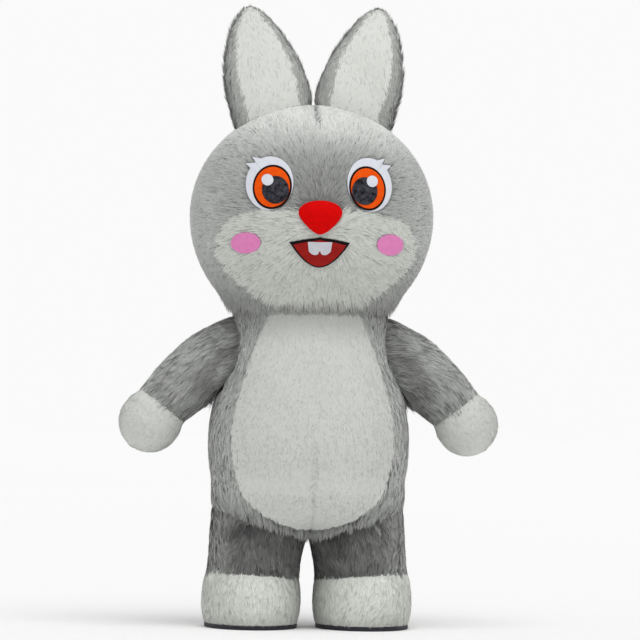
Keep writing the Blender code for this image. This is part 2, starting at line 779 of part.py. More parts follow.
def build_legs(hole, torso_normals, home, looks):
    rings = leg_rings(hole)
    normals = ring_normals(rings)
    ankle = len(LEG_RINGS)
    half = TORSO_COLUMNS
    halves = {"front": np.arange(half + 1), "back": np.arange(half, 2 * half + 1) % (2 * half)}
    foot_names = {"front": "foot_{}_vamp", "back": "foot_{}_heel"}
    for name, pick in halves.items():
        grid, grid_normals = rings[: ankle + 1, pick], normals[: ankle + 1, pick]
        outer = inset(grid, grid_normals, ("col0", "col1", "row0", "row1"), False)
        others = np.full_like(grid, np.nan)
        others[0] = torso_normals[pick]
        inner = mitred(outer, grid_normals, WALL, others)
        outer[0, :, 0] = np.maximum(outer[0, :, 0], LEG_APART)
        both_sides("leg_{}_" + name, outer, inner, looks["gray_long_pile"], home)
        grid, grid_normals = rings[ankle:, pick], normals[ankle:, pick]
        outer = inset(grid, grid_normals, ("col0", "col1", "row0"), False)
        inner = outer - WALL * grid_normals
        inner[-1, :, 2] = outer[-1, :, 2]
        both_sides(foot_names[name], outer, inner, looks["white_pile"], home)
    rim = rings[-1].copy()
    rim[:, 2] = SOLE
    bottom = rim * np.array([1.0, 1.0, 0.0])
    count = len(rim)
    for side, sign in (("left", 1.0), ("right", -1.0)):
        points = np.concatenate([rim, bottom]) * np.array([sign, 1.0, 1.0])
        faces = [tuple(range(count)), tuple(range(2 * count - 1, count - 1, -1))]
        for k in range(count):
            n = (k + 1) % count
            faces.append((k, n, count + n, count + k))
        mesh_object("sole_" + side, points, faces, looks["sole_black"], home)
    return normals[0]


def belly_params():
    rows = [torso_params(x, z) for z, x in BELLY_EDGE]
    right = np.array(rows)
    left = right * np.array([-1.0, 1.0])
    return strip(left, right, BELLY_COLUMNS)


def torso_rails(belly):
    """The outer and inner edge of a front piece, row by row from the leg hole to the neck."""
    half = BELLY_COLUMNS // 2
    seam = np.array([[0.0, CROTCH_Z], [0.0, (CROTCH_Z + belly[0, half, 1]) / 2]])
    inner = np.concatenate([seam, belly[0, half:], belly[1:, -1]])
    hole = armhole_params()
    count = len(inner) - len(hole) - 1
    evenly = np.arange(count) / count
    share = SEAM_EVEN * evenly + (1 - SEAM_EVEN) * evenly**SEAM_POWER
    side_level = CROTCH_Z + (ARMHOLE_LOW - CROTCH_Z) * share
    side = np.stack([np.full(count, 90.0), side_level], -1)
    outer = np.concatenate([side, hole, [[90.0, NECK_Z]]])
    return outer, inner, count


def back_seam(levels):
    """The middle of the back, opened by half a slot where the zip lies."""
    slot = np.where((levels >= ZIP_LOW) & (levels <= ZIP_HIGH), SLOT_HALF, 0.0)
    at = column(TORSO_SECTIONS, TORSO_NAMES, "z")
    width = smooth(at, column(TORSO_SECTIONS, TORSO_NAMES, "width"), np.maximum(levels, BARREL_Z))
    return np.stack([180 - np.degrees(np.arcsin(slot / width)), levels], -1)


def build_torso(home, looks):
    belly = belly_params()
    rail_a, rail_b, first = torso_rails(belly)
    back_a = rail_a * np.array([-1.0, 1.0]) + np.array([180.0, 0.0])
    back_b = back_seam(rail_a[:, 1])
    front = strip(rail_a, rail_b, TORSO_COLUMNS)
    back = strip(back_a, back_b, TORSO_COLUMNS)
    front_root = torso_point(front[first : first + ARM_COLUMNS + 1, 0])
    back_root = torso_point(back[first : first + ARM_COLUMNS + 1, 0])
    root = np.concatenate([front_root, back_root[::-1][1:-1]])
    root_params = np.concatenate(
        [front[first : first + ARM_COLUMNS + 1, 0], back[first : first + ARM_COLUMNS + 1, 0][::-1][1:-1]]
    )
    arm_normals = build_arms(root, torso_normal(root_params), home, looks)
    hole_params = np.concatenate([front[0], back[0][::-1][1:-1]])
    leg_normals = build_legs(torso_point(hole_params), torso_normal(hole_params), home, looks)
    pieces = (
        ("belly", belly, ("col0", "col1", "row0", "row1"), "white_short_pile"),
        ("torso_front_{}", front, ("col0", "col1", "row0", "row1"), "gray_long_pile"),
        ("torso_back_{}", back, ("col0", "col1", "row0", "row1"), "gray_long_pile"),
    )
    half = TORSO_COLUMNS
    for name, params, sides, look in pieces:
        plain = torso_point(params)
        normals = torso_normal(params)
        outer = inset(plain, normals, sides, False)
        others = np.full_like(plain, np.nan)
        armhole = np.s_[first : first + ARM_COLUMNS + 1, 0]
        if name == "torso_front_{}":
            others[armhole] = arm_normals[: ARM_COLUMNS + 1]
            others[0] = leg_normals[: half + 1]
        if name == "torso_back_{}":
            arm_back = np.arange(2 * ARM_COLUMNS, ARM_COLUMNS - 1, -1) % (2 * ARM_COLUMNS)
            others[armhole] = arm_normals[arm_back]
            others[0] = leg_normals[np.arange(2 * half, half - 1, -1) % (2 * half)]
        inner = mitred(outer, normals, WALL, others)
        flat = unit(normals[-1] * np.array([1.0, 1.0, 0.0]))
        inner[-1] = outer[-1] - flat * WALL
        outer[-1, :, 2] = NECK_Z - SEAM
        inner[-1, :, 2] = NECK_Z - SEAM
        if "{}" in name:
            both_sides(name, outer, inner, looks[look], home)
        else:
            points, faces = shell_mesh(outer, inner)
            mesh_object(name, points, faces, looks[look], home)
    build_zip(rail_a[:, 1], home, looks)


def build_zip(levels, home, looks):
    """The closed zip as a strip in its slot, and the slider at its upper end."""
    within = levels[(levels >= ZIP_LOW) & (levels <= ZIP_HIGH)]
    within[0] += 0.004
    within[-1] -= 0.004
    across = np.array([-ZIP_HALF, 0.0, ZIP_HALF])
    at = column(TORSO_SECTIONS, TORSO_NAMES, "z")
    width = smooth(at, column(TORSO_SECTIONS, TORSO_NAMES, "width"), within)
    turns = 180 - np.degrees(np.arcsin(across[None, :] / width[:, None]))
    params = np.stack([turns, np.repeat(within[:, None], 3, 1)], -1)
    grid = torso_point(params)
    normals = torso_normal(params)
    outer = grid - normals * ZIP_SINK
    points, faces = shell_mesh(outer, outer - normals * ZIP_THICK)
    mesh_object("zip", points, faces, looks["zip_gray"], home)
    size = np.array(SLIDER_SIZE)
    low, high = outer[-2, 1], outer[-1, 1]
    out = normals[-1, 1]
    up = unit(high - low)
    middle = high - up * (size[2] / 2 + 0.006) + out * (size[1] / 2 + LIFT + 0.0004)
    mesh = bpy.data.meshes.new("zip_slider")
    body = bmesh.new()
    bmesh.ops.create_cube(body, size=1.0)
    bmesh.ops.scale(body, vec=size.tolist(), verts=body.verts)
    bmesh.ops.bevel(
        body, geom=body.edges[:], offset=0.0018, segments=2, profile=0.5, affect="EDGES"
    )
    body.to_mesh(mesh)
    body.free()
    mesh.materials.append(looks["zip_slider_metal"])
    slider = bpy.data.objects.new("zip_slider", mesh)
    slider.location = middle.tolist()
    slider.rotation_euler = (math.atan2(-up[1], up[2]), 0.0, 0.0)
    home.objects.link(slider)


def main():
    for old in list(bpy.data.objects):
        bpy.data.objects.remove(old)
    home = bpy.data.collections.new("rabbit_mascot_costume")
    cutters = bpy.data.collections.new("cutters")
    bpy.context.scene.collection.children.link(home)
    bpy.context.scene.collection.children.link(cutters)
    colours = {
        "gray_long_pile": ("9B9C9E", 0.95),
        "white_pile": ("D6D8D6", 0.95),
        "white_short_pile": ("CFD2CF", 0.95),
        "eye_white_cloth": ("DDE0E8", 0.60),
        "iris_orange_cloth": ("F05A0A", 0.55),
        "pupil_black_cloth": ("17161A", 0.50),
        "cheek_pink_cloth": ("DC82C0", 0.80),
        "nose_red_cloth": ("D80808", 0.55),
        "mouth_edge_black_cloth": ("1A1416", 0.70),
        "mouth_red_cloth": ("8E1A18", 0.70),
        "teeth_white_cloth": ("BEBFC4", 0.60),
        "zip_gray": ("77787A", 0.60),
        "zip_slider_metal": ("8C8E90", 0.35),
        "sole_black": ("15131F", 0.70),
    }
    looks = {name: material(name, *look) for name, look in colours.items()}
    looks["zip_slider_metal"].node_tree.nodes["Principled BSDF"].inputs["Metallic"].default_value = 1.0
    grids = build_head(home, looks)
    build_face(grids, home, cutters, looks)
    build_nose(home, looks)
    build_ears(home, looks)
    build_torso(home, looks)
    bpy.context.view_layer.update()
    base = bpy.data.objects.new("costume", None)
    home.objects.link(base)
    reach = [(o.matrix_world @ v.co).y for o in home.objects if o.data for v in o.data.vertices]
    for piece in home.objects:
        if piece is not base:
            piece.parent = base
    base.location.y = -(min(reach) + max(reach)) / 2


main()
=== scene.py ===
# %% [markdown]
# # A rabbit mascot costume in plush
# The real object is a big hollow suit of long pile plush, kept filled out by air: a ball head with
# two tall ears, a barrel torso with a pale belly panel, sleeves that end in mitts, short legs and
# feet on flat black soles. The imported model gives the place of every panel. Here each panel gets
# its knitted backing and its pile, strand by strand, and the face gets its appliqué pieces.

# %% The fixed frame
import math

import bmesh
import bpy
import numpy as np
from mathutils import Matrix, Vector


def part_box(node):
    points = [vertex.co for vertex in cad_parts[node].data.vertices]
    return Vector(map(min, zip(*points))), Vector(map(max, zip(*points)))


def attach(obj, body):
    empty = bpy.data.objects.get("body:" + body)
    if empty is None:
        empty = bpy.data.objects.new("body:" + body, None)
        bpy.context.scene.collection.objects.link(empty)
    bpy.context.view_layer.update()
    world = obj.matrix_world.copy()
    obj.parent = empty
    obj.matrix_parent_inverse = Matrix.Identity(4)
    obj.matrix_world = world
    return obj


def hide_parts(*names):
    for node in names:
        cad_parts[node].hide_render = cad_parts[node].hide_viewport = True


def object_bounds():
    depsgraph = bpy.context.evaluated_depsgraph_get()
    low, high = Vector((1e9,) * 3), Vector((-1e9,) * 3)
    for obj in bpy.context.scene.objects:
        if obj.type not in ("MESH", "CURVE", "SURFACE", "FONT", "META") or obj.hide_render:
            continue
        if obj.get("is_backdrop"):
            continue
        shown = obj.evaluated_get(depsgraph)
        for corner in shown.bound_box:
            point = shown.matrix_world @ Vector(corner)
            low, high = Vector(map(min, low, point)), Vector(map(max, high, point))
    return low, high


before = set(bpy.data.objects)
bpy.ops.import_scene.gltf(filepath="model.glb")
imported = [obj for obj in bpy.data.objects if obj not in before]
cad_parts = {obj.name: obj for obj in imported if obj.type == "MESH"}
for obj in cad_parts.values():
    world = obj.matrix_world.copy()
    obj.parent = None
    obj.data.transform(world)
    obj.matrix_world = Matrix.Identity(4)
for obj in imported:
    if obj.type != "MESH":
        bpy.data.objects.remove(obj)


def show(name, data):
    """An object for this mesh, lamp or camera, put into the scene."""
    made = bpy.data.objects.new(name, data)
    bpy.context.scene.collection.objects.link(made)
    return made


cad_low, cad_high = (list(corner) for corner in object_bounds())
# The tables below have the body's middle at y 0; the back of the head tells where it is in the pack.
HEAD_DEPTH = 0.460
MIDDLE_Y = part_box("head_back_left")[1][1] - HEAD_DEPTH
print("packed box", np.round(cad_low, 3), np.round(cad_high, 3), "table moved by", round(MIDDLE_Y, 4))

# %% [markdown]
# ## Camera, light and floor
# The photograph is a studio picture on pure white, taken level at half the costume's height and
# from a few degrees to the wearer's right. A long lens from far off keeps the head and the feet in
# the same scale. A bright even surround and one broad lamp above the front give soft shading with
# darker hollows under the chin, the arms and between the legs.

# %% Camera
# Degrees, then metres; the roll takes up that the figure in the photograph leans a little.
CAMERA_AZIMUTH, CAMERA_ROLL = -4.7, -0.8
CAMERA_AWAY, VIEW_WIDTH, AIM_HEIGHT, AIM_RIGHT = 25.0, 2.682, 1.289, 0.040
FILM_WIDTH = 36.0  # mm
turn = math.radians(CAMERA_AZIMUTH)
right = (math.cos(turn), math.sin(turn))
back = (math.sin(turn), -math.cos(turn))
lens = bpy.data.cameras.new("photo_camera")
lens.sensor_width = FILM_WIDTH
lens.lens = FILM_WIDTH * CAMERA_AWAY / VIEW_WIDTH
camera = show("photo_camera", lens)
camera.location = (
    right[0] * AIM_RIGHT + back[0] * CAMERA_AWAY,
    right[1] * AIM_RIGHT + back[1] * CAMERA_AWAY,
    AIM_HEIGHT,
)
camera.rotation_euler = (math.radians(90), math.radians(CAMERA_ROLL), turn)
bpy.context.scene.camera = camera
print("lens", round(lens.lens, 1), "mm at", [round(v, 2) for v in camera.location])


# %% Colours and nodes
def shade(text):
    """A sRGB hex colour as linear values."""
    parts = [int(text[i : i + 2], 16) / 255 for i in (0, 2, 4)]
    return [p / 12.92 if p <= 0.04045 else ((p + 0.055) / 1.055) ** 2.4 for p in parts] + [1.0]


def wire(tree, node, **inputs):
    """Fill the node's inputs: each with a value, or with another node's output to link."""
    for key, value in inputs.items():
        socket = node.inputs[int(key[1:])] if key[1:].isdigit() else node.inputs[key.replace("_", " ")]
        if isinstance(value, bpy.types.NodeSocket):
            tree.links.new(value, socket)
        else:
            socket.default_value = value


def add(tree, kind, settings=None, stops=(), **inputs):
    """A node with its settings, its colour stops (place, hex) and its inputs."""
    made = tree.nodes.new(kind)
    for key, value in (settings or {}).items():
        setattr(made, key, value)
    for index, (place, colour) in enumerate(stops):
        bar = made.color_ramp.elements
        element = bar[index] if index < len(bar) else bar.new(place)
        element.position = place
        element.color = shade(colour)
    wire(tree, made, **inputs)
    return made


def new_finish(name, **constants):
    """A material with its tree and shader; constants are set on the shader's own sockets."""
    finish = bpy.data.materials.new(name)
    finish.use_nodes = True
    shader = finish.node_tree.nodes["Principled BSDF"]
    wire(finish.node_tree, shader, **constants)
    return finish, finish.node_tree, shader


# %% Light and floor
scene = bpy.context.scene
scene.view_settings.view_transform = "Standard"
SURROUND, SEEN_GROUND = 0.56, 0.956  # how strongly the white surround lights, and how it looks
KEY_PLACE, KEY_STRENGTH, KEY_WIDTH = (0.5, -2.6, 5.6), 1.55, math.radians(50)
FLOOR_REACH = 40.0
world = bpy.data.worlds.new("white_surround")
world.use_nodes = True
sky = world.node_tree.nodes["Background"]
sky.inputs["Color"].default_value = (1.0, 1.0, 1.0, 1.0)
# The backdrop is lit apart from the costume, as in a studio: seen directly it matches the floor.
seen = add(world.node_tree, "ShaderNodeLightPath").outputs["Is Camera Ray"]
level = add(world.node_tree, "ShaderNodeMapRange", i0=seen, i3=SURROUND, i4=SEEN_GROUND)
world.node_tree.links.new(level.outputs[0], sky.inputs["Strength"])
scene.world = world

# One very large, distant soft light from above the front.
light = bpy.data.lights.new("soft_key_above_front", "SUN")
light.energy, light.angle = KEY_STRENGTH, KEY_WIDTH
key_light = show("soft_key_above_front", light)
key_light.location = KEY_PLACE
key_light.rotation_euler = Vector(KEY_PLACE).to_track_quat("Z", "Y").to_euler()

# A painted studio floor is matte and nearly white. Here and below, a noise pattern's spots are
# about 1000 / Scale mm wide.
floor_finish, tree, shader = new_finish("painted_studio_floor", Roughness=0.9)
grain = add(tree, "ShaderNodeTexNoise", Scale=3.0, Detail=4.0).outputs[0]
white = add(tree, "ShaderNodeValToRGB", stops=[(0.3, "FCFCFC"), (0.7, "FEFEFE")], i0=grain)
wire(tree, shader, Base_Color=white.outputs[0])
floor_mesh = bpy.data.meshes.new("studio_floor")
ways = ((-1, -1), (1, -1), (1, 1), (-1, 1))
floor_corners = [(x * FLOOR_REACH, y * FLOOR_REACH, 0.0) for x, y in ways]
floor_mesh.from_pydata(floor_corners, [], [(0, 1, 2, 3)])
floor_mesh.materials.append(floor_finish)
show("studio_floor", floor_mesh)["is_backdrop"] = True
print("floor and one soft light")

# %% [markdown]
# ## The panels' surfaces
# Every panel is cut so that, filled with air, it lies on a simple body: the head on an egg, the
# torso on a barrel, the limbs on rings. The same tables as in the solids give those bodies, with
# finer rows and columns, so that each panel here lies where its solid lies but has no facets.
# The outer face is where the pile ends; the backing lies under it by the depth of the pile.

# %% Curve helpers
FINE = 4  # rows here for each row of the solids


def unit(v):
    return v / np.maximum(np.linalg.norm(v, axis=-1, keepdims=True), 1e-12)


def smooth(xs, ys, at):
    """A curve without corners through the table's points."""
    slopes = np.gradient(ys, xs)
    k = np.clip(np.searchsorted(xs, at) - 1, 0, len(xs) - 2)
    step = xs[k + 1] - xs[k]
    t = (at - xs[k]) / step
    start = (1 + 2 * t) * (1 - t) ** 2 * ys[k] + t * (1 - t) ** 2 * step * slopes[k]
    end = t**2 * (3 - 2 * t) * ys[k + 1] + t**2 * (t - 1) * step * slopes[k + 1]
    return start + end


def finer(rows, breaks=()):
    """Rows of anything with FINE rows for each, on a smooth curve between the given breaks."""
    rows = np.asarray(rows, float)
    stops = [0, *breaks, len(rows) - 1]
    out = [rows[:1]]
    for first, last in zip(stops, stops[1:]):
        part = rows[first : last + 1]
        flat = part.reshape(len(part), -1)
        at = np.linspace(0, len(part) - 1, FINE * (len(part) - 1) + 1)[1:]
        index = np.arange(len(part), dtype=float)
        if len(part) < 3:
            curve = np.stack([np.interp(at, index, c) for c in flat.T], -1)
        else:
            curve = np.stack([smooth(index, c, at) for c in flat.T], -1)
        out.append(curve.reshape(-1, *rows.shape[1:]))
    return np.concatenate(out)


def runs(points):
    """The distances from each row of points to the next."""
    return np.linalg.norm(np.diff(points, axis=0), axis=-1)


def cell_areas(grid):
    """The area of each cell of a grid of points."""
    a, b, c, d = grid[:-1, :-1], grid[:-1, 1:], grid[1:, :-1], grid[1:, 1:]
    return np.linalg.norm(np.cross(d - a, c - b), axis=-1) / 2


def closed(front, behind):
    """A closed line from two halves that run the same way and share their ends."""
    return np.concatenate([front, behind[::-1][1:-1]])


def strip(rail_a, rail_b, columns):
    """Rows of surface angles from one rail to the other."""
    t = np.linspace(0, 1, columns + 1)[None, :, None]
    return rail_a[:, None] * (1 - t) + rail_b[:, None] * t


# %% Head surface
HEAD_WIDTH, HEAD_MIDDLE, HEAD_UP, HEAD_DOWN, NECK_Z = 0.510, 1.722, 0.468, 0.500, 1.335
MUZZLE_Z = np.array([1.335, 1.354, 1.388, 1.425, 1.471, 1.517, 1.588, 1.645, 1.697, 1.726, 1.738])
MUZZLE_X = np.array([0.090, 0.163, 0.235, 0.290, 0.345, 0.387, 0.412, 0.396, 0.358, 0.278, 0.150])
CROWN_ROWS, MUZZLE_COLUMNS, HEAD_COLUMNS = 7, 40, 28


def head_rise(above):
    return np.where(above, HEAD_UP, HEAD_DOWN)


def head_point(params):
    """The head's face at an angle round it (0 in front) and an angle up, in degrees."""
    turn, up = np.radians(params[..., 0]), np.radians(params[..., 1])
    x = HEAD_WIDTH * np.cos(up) * np.sin(turn)
    y = -HEAD_DEPTH * np.cos(up) * np.cos(turn)
    return np.stack([x, y, HEAD_MIDDLE + head_rise(up > 0) * np.sin(up)], -1)


def head_normal(points):
    rise = head_rise(points[..., 2] > HEAD_MIDDLE)
    x, y = points[..., 0] / HEAD_WIDTH**2, points[..., 1] / HEAD_DEPTH**2
    return unit(np.stack([x, y, (points[..., 2] - HEAD_MIDDLE) / rise**2], -1))


def head_params(x, z):
    """The angles of a point on the head's front seen at x and z."""
    x, z = np.broadcast_arrays(np.asarray(x, float), np.asarray(z, float))
    up = np.arcsin(np.clip((z - HEAD_MIDDLE) / head_rise(z > HEAD_MIDDLE), -1, 1))
    turn = np.arcsin(np.clip(x / (HEAD_WIDTH * np.cos(up)), -1, 1))
    return np.stack([np.degrees(turn), np.degrees(up)], -1)


def head_panels():
    """Angles of the muzzle, of the left front and of the left back panel."""
    left = finer(head_params(-MUZZLE_X, MUZZLE_Z))
    right_rail = finer(head_params(MUZZLE_X, MUZZLE_Z))
    muzzle = strip(left, right_rail, MUZZLE_COLUMNS)
    top_row = muzzle[-1, MUZZLE_COLUMNS // 2 :][::-1][1:]
    crown_ups = np.linspace(head_params(0.0, MUZZLE_Z[-1])[1], 90, FINE * CROWN_ROWS + 1)[1:]
    crown = np.stack([np.zeros(len(crown_ups)), crown_ups], -1)
    rail_b = np.concatenate([right_rail, top_row, crown])
    rail_runs = runs(head_point(rail_b))
    by_length = np.concatenate([[0], np.cumsum(rail_runs)]) / rail_runs.sum()
    share = (by_length + np.linspace(0, 1, len(by_length))) / 2
    start = head_params(0.0, NECK_Z)[1]
    ups = start + (90 - start) * share
    rail_a = np.stack([np.full(len(ups), 90.0), ups], -1)
    rail_back = np.stack([np.full(len(ups), 180.0), ups], -1)
    return muzzle, strip(rail_a, rail_b, HEAD_COLUMNS), strip(rail_back, rail_a, HEAD_COLUMNS)


# %% Torso surface
TORSO_Z = np.array([0.620, 0.720, 0.836, 0.920, 1.024, 1.116, 1.230, 1.335])
TORSO_WIDTH = np.array([0.408, 0.419, 0.418, 0.406, 0.382, 0.352, 0.333, 0.323])
TORSO_FRONT = np.array([0.356, 0.376, 0.382, 0.378, 0.366, 0.350, 0.322, 0.291])
TORSO_BACK = np.array([0.340, 0.352, 0.354, 0.350, 0.340, 0.328, 0.308, 0.291])
BARREL_Z, CROTCH_Z, HIP_Z, HIP_X, LEG_FRONT, LEG_BACK, TUCK = 0.620, 0.380, 0.514, 0.400, 0.240, 0.230, 0.85
BELLY_Z = np.array([
    0.424, 0.438, 0.465, 0.514, 0.585, 0.690, 0.820, 0.905, 0.945,
    0.980, 1.025, 1.075, 1.130, 1.190, 1.250, 1.290, 1.315, 1.335,
])
BELLY_X = np.array([
    0.060, 0.115, 0.178, 0.246, 0.300, 0.330, 0.337, 0.322, 0.314,
    0.305, 0.292, 0.278, 0.260, 0.240, 0.212, 0.194, 0.184, 0.176,
])
ARMHOLE_LOW, ARMHOLE_HIGH, ARMHOLE_DEPTH, COLUMNS = 0.958, 1.305, 0.155, 32
ZIP_LOW, ZIP_HIGH, SLOT_HALF = 0.62, 1.31, 0.008


def torso_ring(turn, z):
    width = smooth(TORSO_Z, TORSO_WIDTH, z)
    front, behind = smooth(TORSO_Z, TORSO_FRONT, z), smooth(TORSO_Z, TORSO_BACK, z)
    depth = np.where(np.cos(turn) > 0, front, behind)
    return np.stack([width * np.sin(turn), -depth * np.cos(turn), z], -1)


def leg_hole(turn):
    """The lower edge of the torso: round one leg, from the hip to the crotch."""
    side = np.where(np.sin(turn) < 0, -1.0, 1.0)
    part = 2 * np.arccos(np.clip(np.abs(np.sin(turn)), 0, 1))
    x = side * HIP_X / 2 * (1 + np.cos(part))
    y = np.where(np.cos(turn) > 0, -LEG_FRONT, LEG_BACK) * np.sin(part)
    return np.stack([x, y, (HIP_Z + CROTCH_Z) / 2 + (HIP_Z - CROTCH_Z) / 2 * np.cos(part)], -1)


def torso_point(params):
    """The torso's face at an angle round it (0 in front, 90 at the left side) and a height."""
    turn, level = np.radians(params[..., 0]), params[..., 1]
    ring = torso_ring(turn, np.maximum(level, BARREL_Z))
    hole = leg_hole(turn)
    low = ring.copy()
    low[..., 2] -= TUCK * (ring[..., 2] - hole[..., 2])
    s = np.clip((BARREL_Z - level) / (BARREL_Z - CROTCH_Z), 0, 1)[..., None]
    under = (1 - s) ** 2 * ring + 2 * s * (1 - s) * low + s**2 * hole
    return np.where(s > 0, under, ring)


TURN_TRY, RISE_TRY = 0.01, -0.0001  # degrees and metres


def torso_params(x, z):
    """The angle and level of the torso's front seen at x and z, found in a few steps."""
    guess = np.array([30.0, max(z, 0.45)])
    for _ in range(40):
        here = torso_point(guess)
        miss = np.array([here[0] - x, here[2] - z])
        if np.abs(miss).max() < 1e-7:
            break
        turned = (torso_point(guess + np.array([TURN_TRY, 0.0])) - here) / TURN_TRY
        raised = (torso_point(guess + np.array([0.0, RISE_TRY])) - here) / RISE_TRY
        change = np.linalg.solve(np.array([[turned[0], raised[0]], [turned[2], raised[2]]]), miss)
        guess = guess - np.clip(change, [-8.0, -0.05], [8.0, 0.05])
        guess[0] = np.clip(guess[0], 0.0, 89.0)
        guess[1] = np.clip(guess[1], CROTCH_Z + 0.0002, NECK_Z)
    return guess


BEAT = np.radians(np.linspace(-90, 90, COLUMNS + 1))  # round an arm's front half, from below


def armhole_params():
    level = (ARMHOLE_LOW + ARMHOLE_HIGH) / 2 + (ARMHOLE_HIGH - ARMHOLE_LOW) / 2 * np.sin(BEAT)
    open_angle = np.degrees(np.arcsin(ARMHOLE_DEPTH * np.cos(BEAT) / smooth(TORSO_Z, TORSO_FRONT, level)))
    return np.stack([90 - open_angle, level], -1)


def torso_panels():
    """Angles of the belly, the left front and the left back, and the armhole's first row."""
    belly_right = finer(np.array([torso_params(x, z) for z, x in zip(BELLY_Z, BELLY_X)]))
    belly = strip(belly_right * np.array([-1.0, 1.0]), belly_right, COLUMNS)
    middle = belly[0, COLUMNS // 2]
    seam = np.array([[0.0, CROTCH_Z], [0.0, (CROTCH_Z + middle[1]) / 2], middle])
    inner = np.concatenate([finer(seam, (1,)), belly[0, COLUMNS // 2 + 1 :], belly[1:, -1]])
    hole = armhole_params()
    count = len(inner) - len(hole) - FINE
    evenly = np.arange(count) / count
    side_level = CROTCH_Z + (ARMHOLE_LOW - CROTCH_Z) * (0.1 * evenly + 0.9 * evenly**3)
    side = np.stack([np.full(count, 90.0), side_level], -1)
    top = np.stack([np.full(FINE, 90.0), np.linspace(ARMHOLE_HIGH, NECK_Z, FINE + 1)[1:]], -1)
    outer = np.concatenate([side, hole, top])
    outer_back = outer * np.array([-1.0, 1.0]) + np.array([180.0, 0.0])
    levels = outer[:, 1]
    slot = np.where((levels >= ZIP_LOW) & (levels <= ZIP_HIGH), SLOT_HALF, 0.0)
    half_turn = np.degrees(np.arcsin(slot / smooth(TORSO_Z, TORSO_WIDTH, np.maximum(levels, BARREL_Z))))
    middle_back = np.stack([180.0 - half_turn, levels], -1)
    return belly, strip(outer, inner, COLUMNS), strip(outer_back, middle_back, COLUMNS), count


# %% Limb and ear surfaces
# Each sleeve row: upper x and z, under x and z, half depth. Each mitt row: way along, half width.
SLEEVE_ROWS = [
    (0.400, 1.270, 0.402, 0.947, 0.156), (0.487, 1.222, 0.413, 0.936, 0.152),
    (0.564, 1.158, 0.434, 0.920, 0.143), (0.642, 1.077, 0.472, 0.892, 0.131),
    (0.709, 0.991, 0.525, 0.850, 0.118),
]
MITT_ROWS = [(0.045, 0.128), (0.100, 0.129), (0.145, 0.114), (0.180, 0.085), (0.203, 0.046), (0.213, 0.0)]
MITT_FLATNESS, EAR_SUNK = 0.96, 0.006  # depth to width; how far the ears stand in the head
# Each leg and foot row: inner x and z, outer x and z, reach to the front and to the back.
LEG_ROWS = [
    (0.010, 0.348, 0.407, 0.430, 0.243, 0.232), (0.024, 0.288, 0.412, 0.340, 0.240, 0.230),
    (0.036, 0.220, 0.419, 0.244, 0.236, 0.226),
]
FOOT_ROWS = [
    (0.031, 0.190, 0.430, 0.208, 0.268, 0.228), (0.027, 0.150, 0.438, 0.160, 0.300, 0.230),
    (0.026, 0.105, 0.441, 0.105, 0.318, 0.231), (0.030, 0.060, 0.437, 0.060, 0.318, 0.228),
    (0.040, 0.0203, 0.427, 0.0203, 0.308, 0.220),
]
# Each ear row: inner x and z, outer x and z, half thickness.
EAR_ROWS = np.array([
    (0.004, 2.190, 0.330, 2.079, 0.075), (0.010, 2.232, 0.346, 2.150, 0.075),
    (0.023, 2.282, 0.366, 2.225, 0.072), (0.043, 2.334, 0.376, 2.300, 0.067),
    (0.067, 2.385, 0.374, 2.370, 0.061), (0.094, 2.430, 0.367, 2.428, 0.054),
    (0.125, 2.475, 0.356, 2.477, 0.046), (0.160, 2.520, 0.341, 2.522, 0.037),
    (0.195, 2.558, 0.322, 2.560, 0.027), (0.229, 2.585, 0.303, 2.586, 0.017),
    (0.268, 2.600, 0.268, 2.600, 0.000),
])


# %% Rings of limbs and ears
def arm_ring(middle, half, depth):
    front = middle + half * np.sin(BEAT)[:, None]
    front[:, 1] = -depth * np.cos(BEAT)
    return closed(front, front * np.array([1.0, -1.0, 1.0]))


def arm_rings(root):
    """Rings from the armhole to the mitt's tip, under point first, and the wrist's row."""
    rings = [root]
    for upper_x, upper_z, under_x, under_z, depth in SLEEVE_ROWS:
        upper, under = np.array([upper_x, 0.0, upper_z]), np.array([under_x, 0.0, under_z])
        rings.append(arm_ring((upper + under) / 2, (upper - under) / 2, depth))
    across = unit(upper - under)
    along = np.array([across[2], 0.0, -across[0]])
    for way, width in MITT_ROWS:
        rings.append(arm_ring((upper + under) / 2 + along * way, across * width, width * MITT_FLATNESS))
    return finer(np.stack(rings)), FINE * len(SLEEVE_ROWS)


def leg_rings(hole):
    """Rings from the hip to the sole, outer point first, and the ankle's row."""
    angles = np.radians(np.linspace(0, 360, 2 * COLUMNS + 1)[:-1])
    rings = [hole]
    for inner_x, inner_z, outer_x, outer_z, front, behind in LEG_ROWS + FOOT_ROWS:
        reach = np.where(np.sin(angles) > 0, -front, behind)
        x = (inner_x + outer_x) / 2 + (outer_x - inner_x) / 2 * np.cos(angles)
        z = (inner_z + outer_z) / 2 + (outer_z - inner_z) / 2 * np.cos(angles)
        rings.append(np.stack([x, reach * np.abs(np.sin(angles)), z], -1))
    return finer(np.stack(rings), (len(LEG_ROWS),)), FINE * len(LEG_ROWS)


def ear_ring(angles):
    rows = finer(EAR_ROWS)
    share = (np.cos(angles)[None, :] + 1) / 2
    x = rows[:, :1] * (1 - share) + rows[:, 2:3] * share
    z = rows[:, 1:2] * (1 - share) + rows[:, 3:4] * share
    points = np.stack([x, rows[:, 4:5] * np.sin(angles)[None, :], z], -1)
    inside = 1 - (points[0, :, 0] / HEAD_WIDTH) ** 2 - (points[0, :, 1] / HEAD_DEPTH) ** 2
    points[0, :, 2] = HEAD_MIDDLE + HEAD_UP * np.sqrt(inside) - EAR_SUNK
    return points


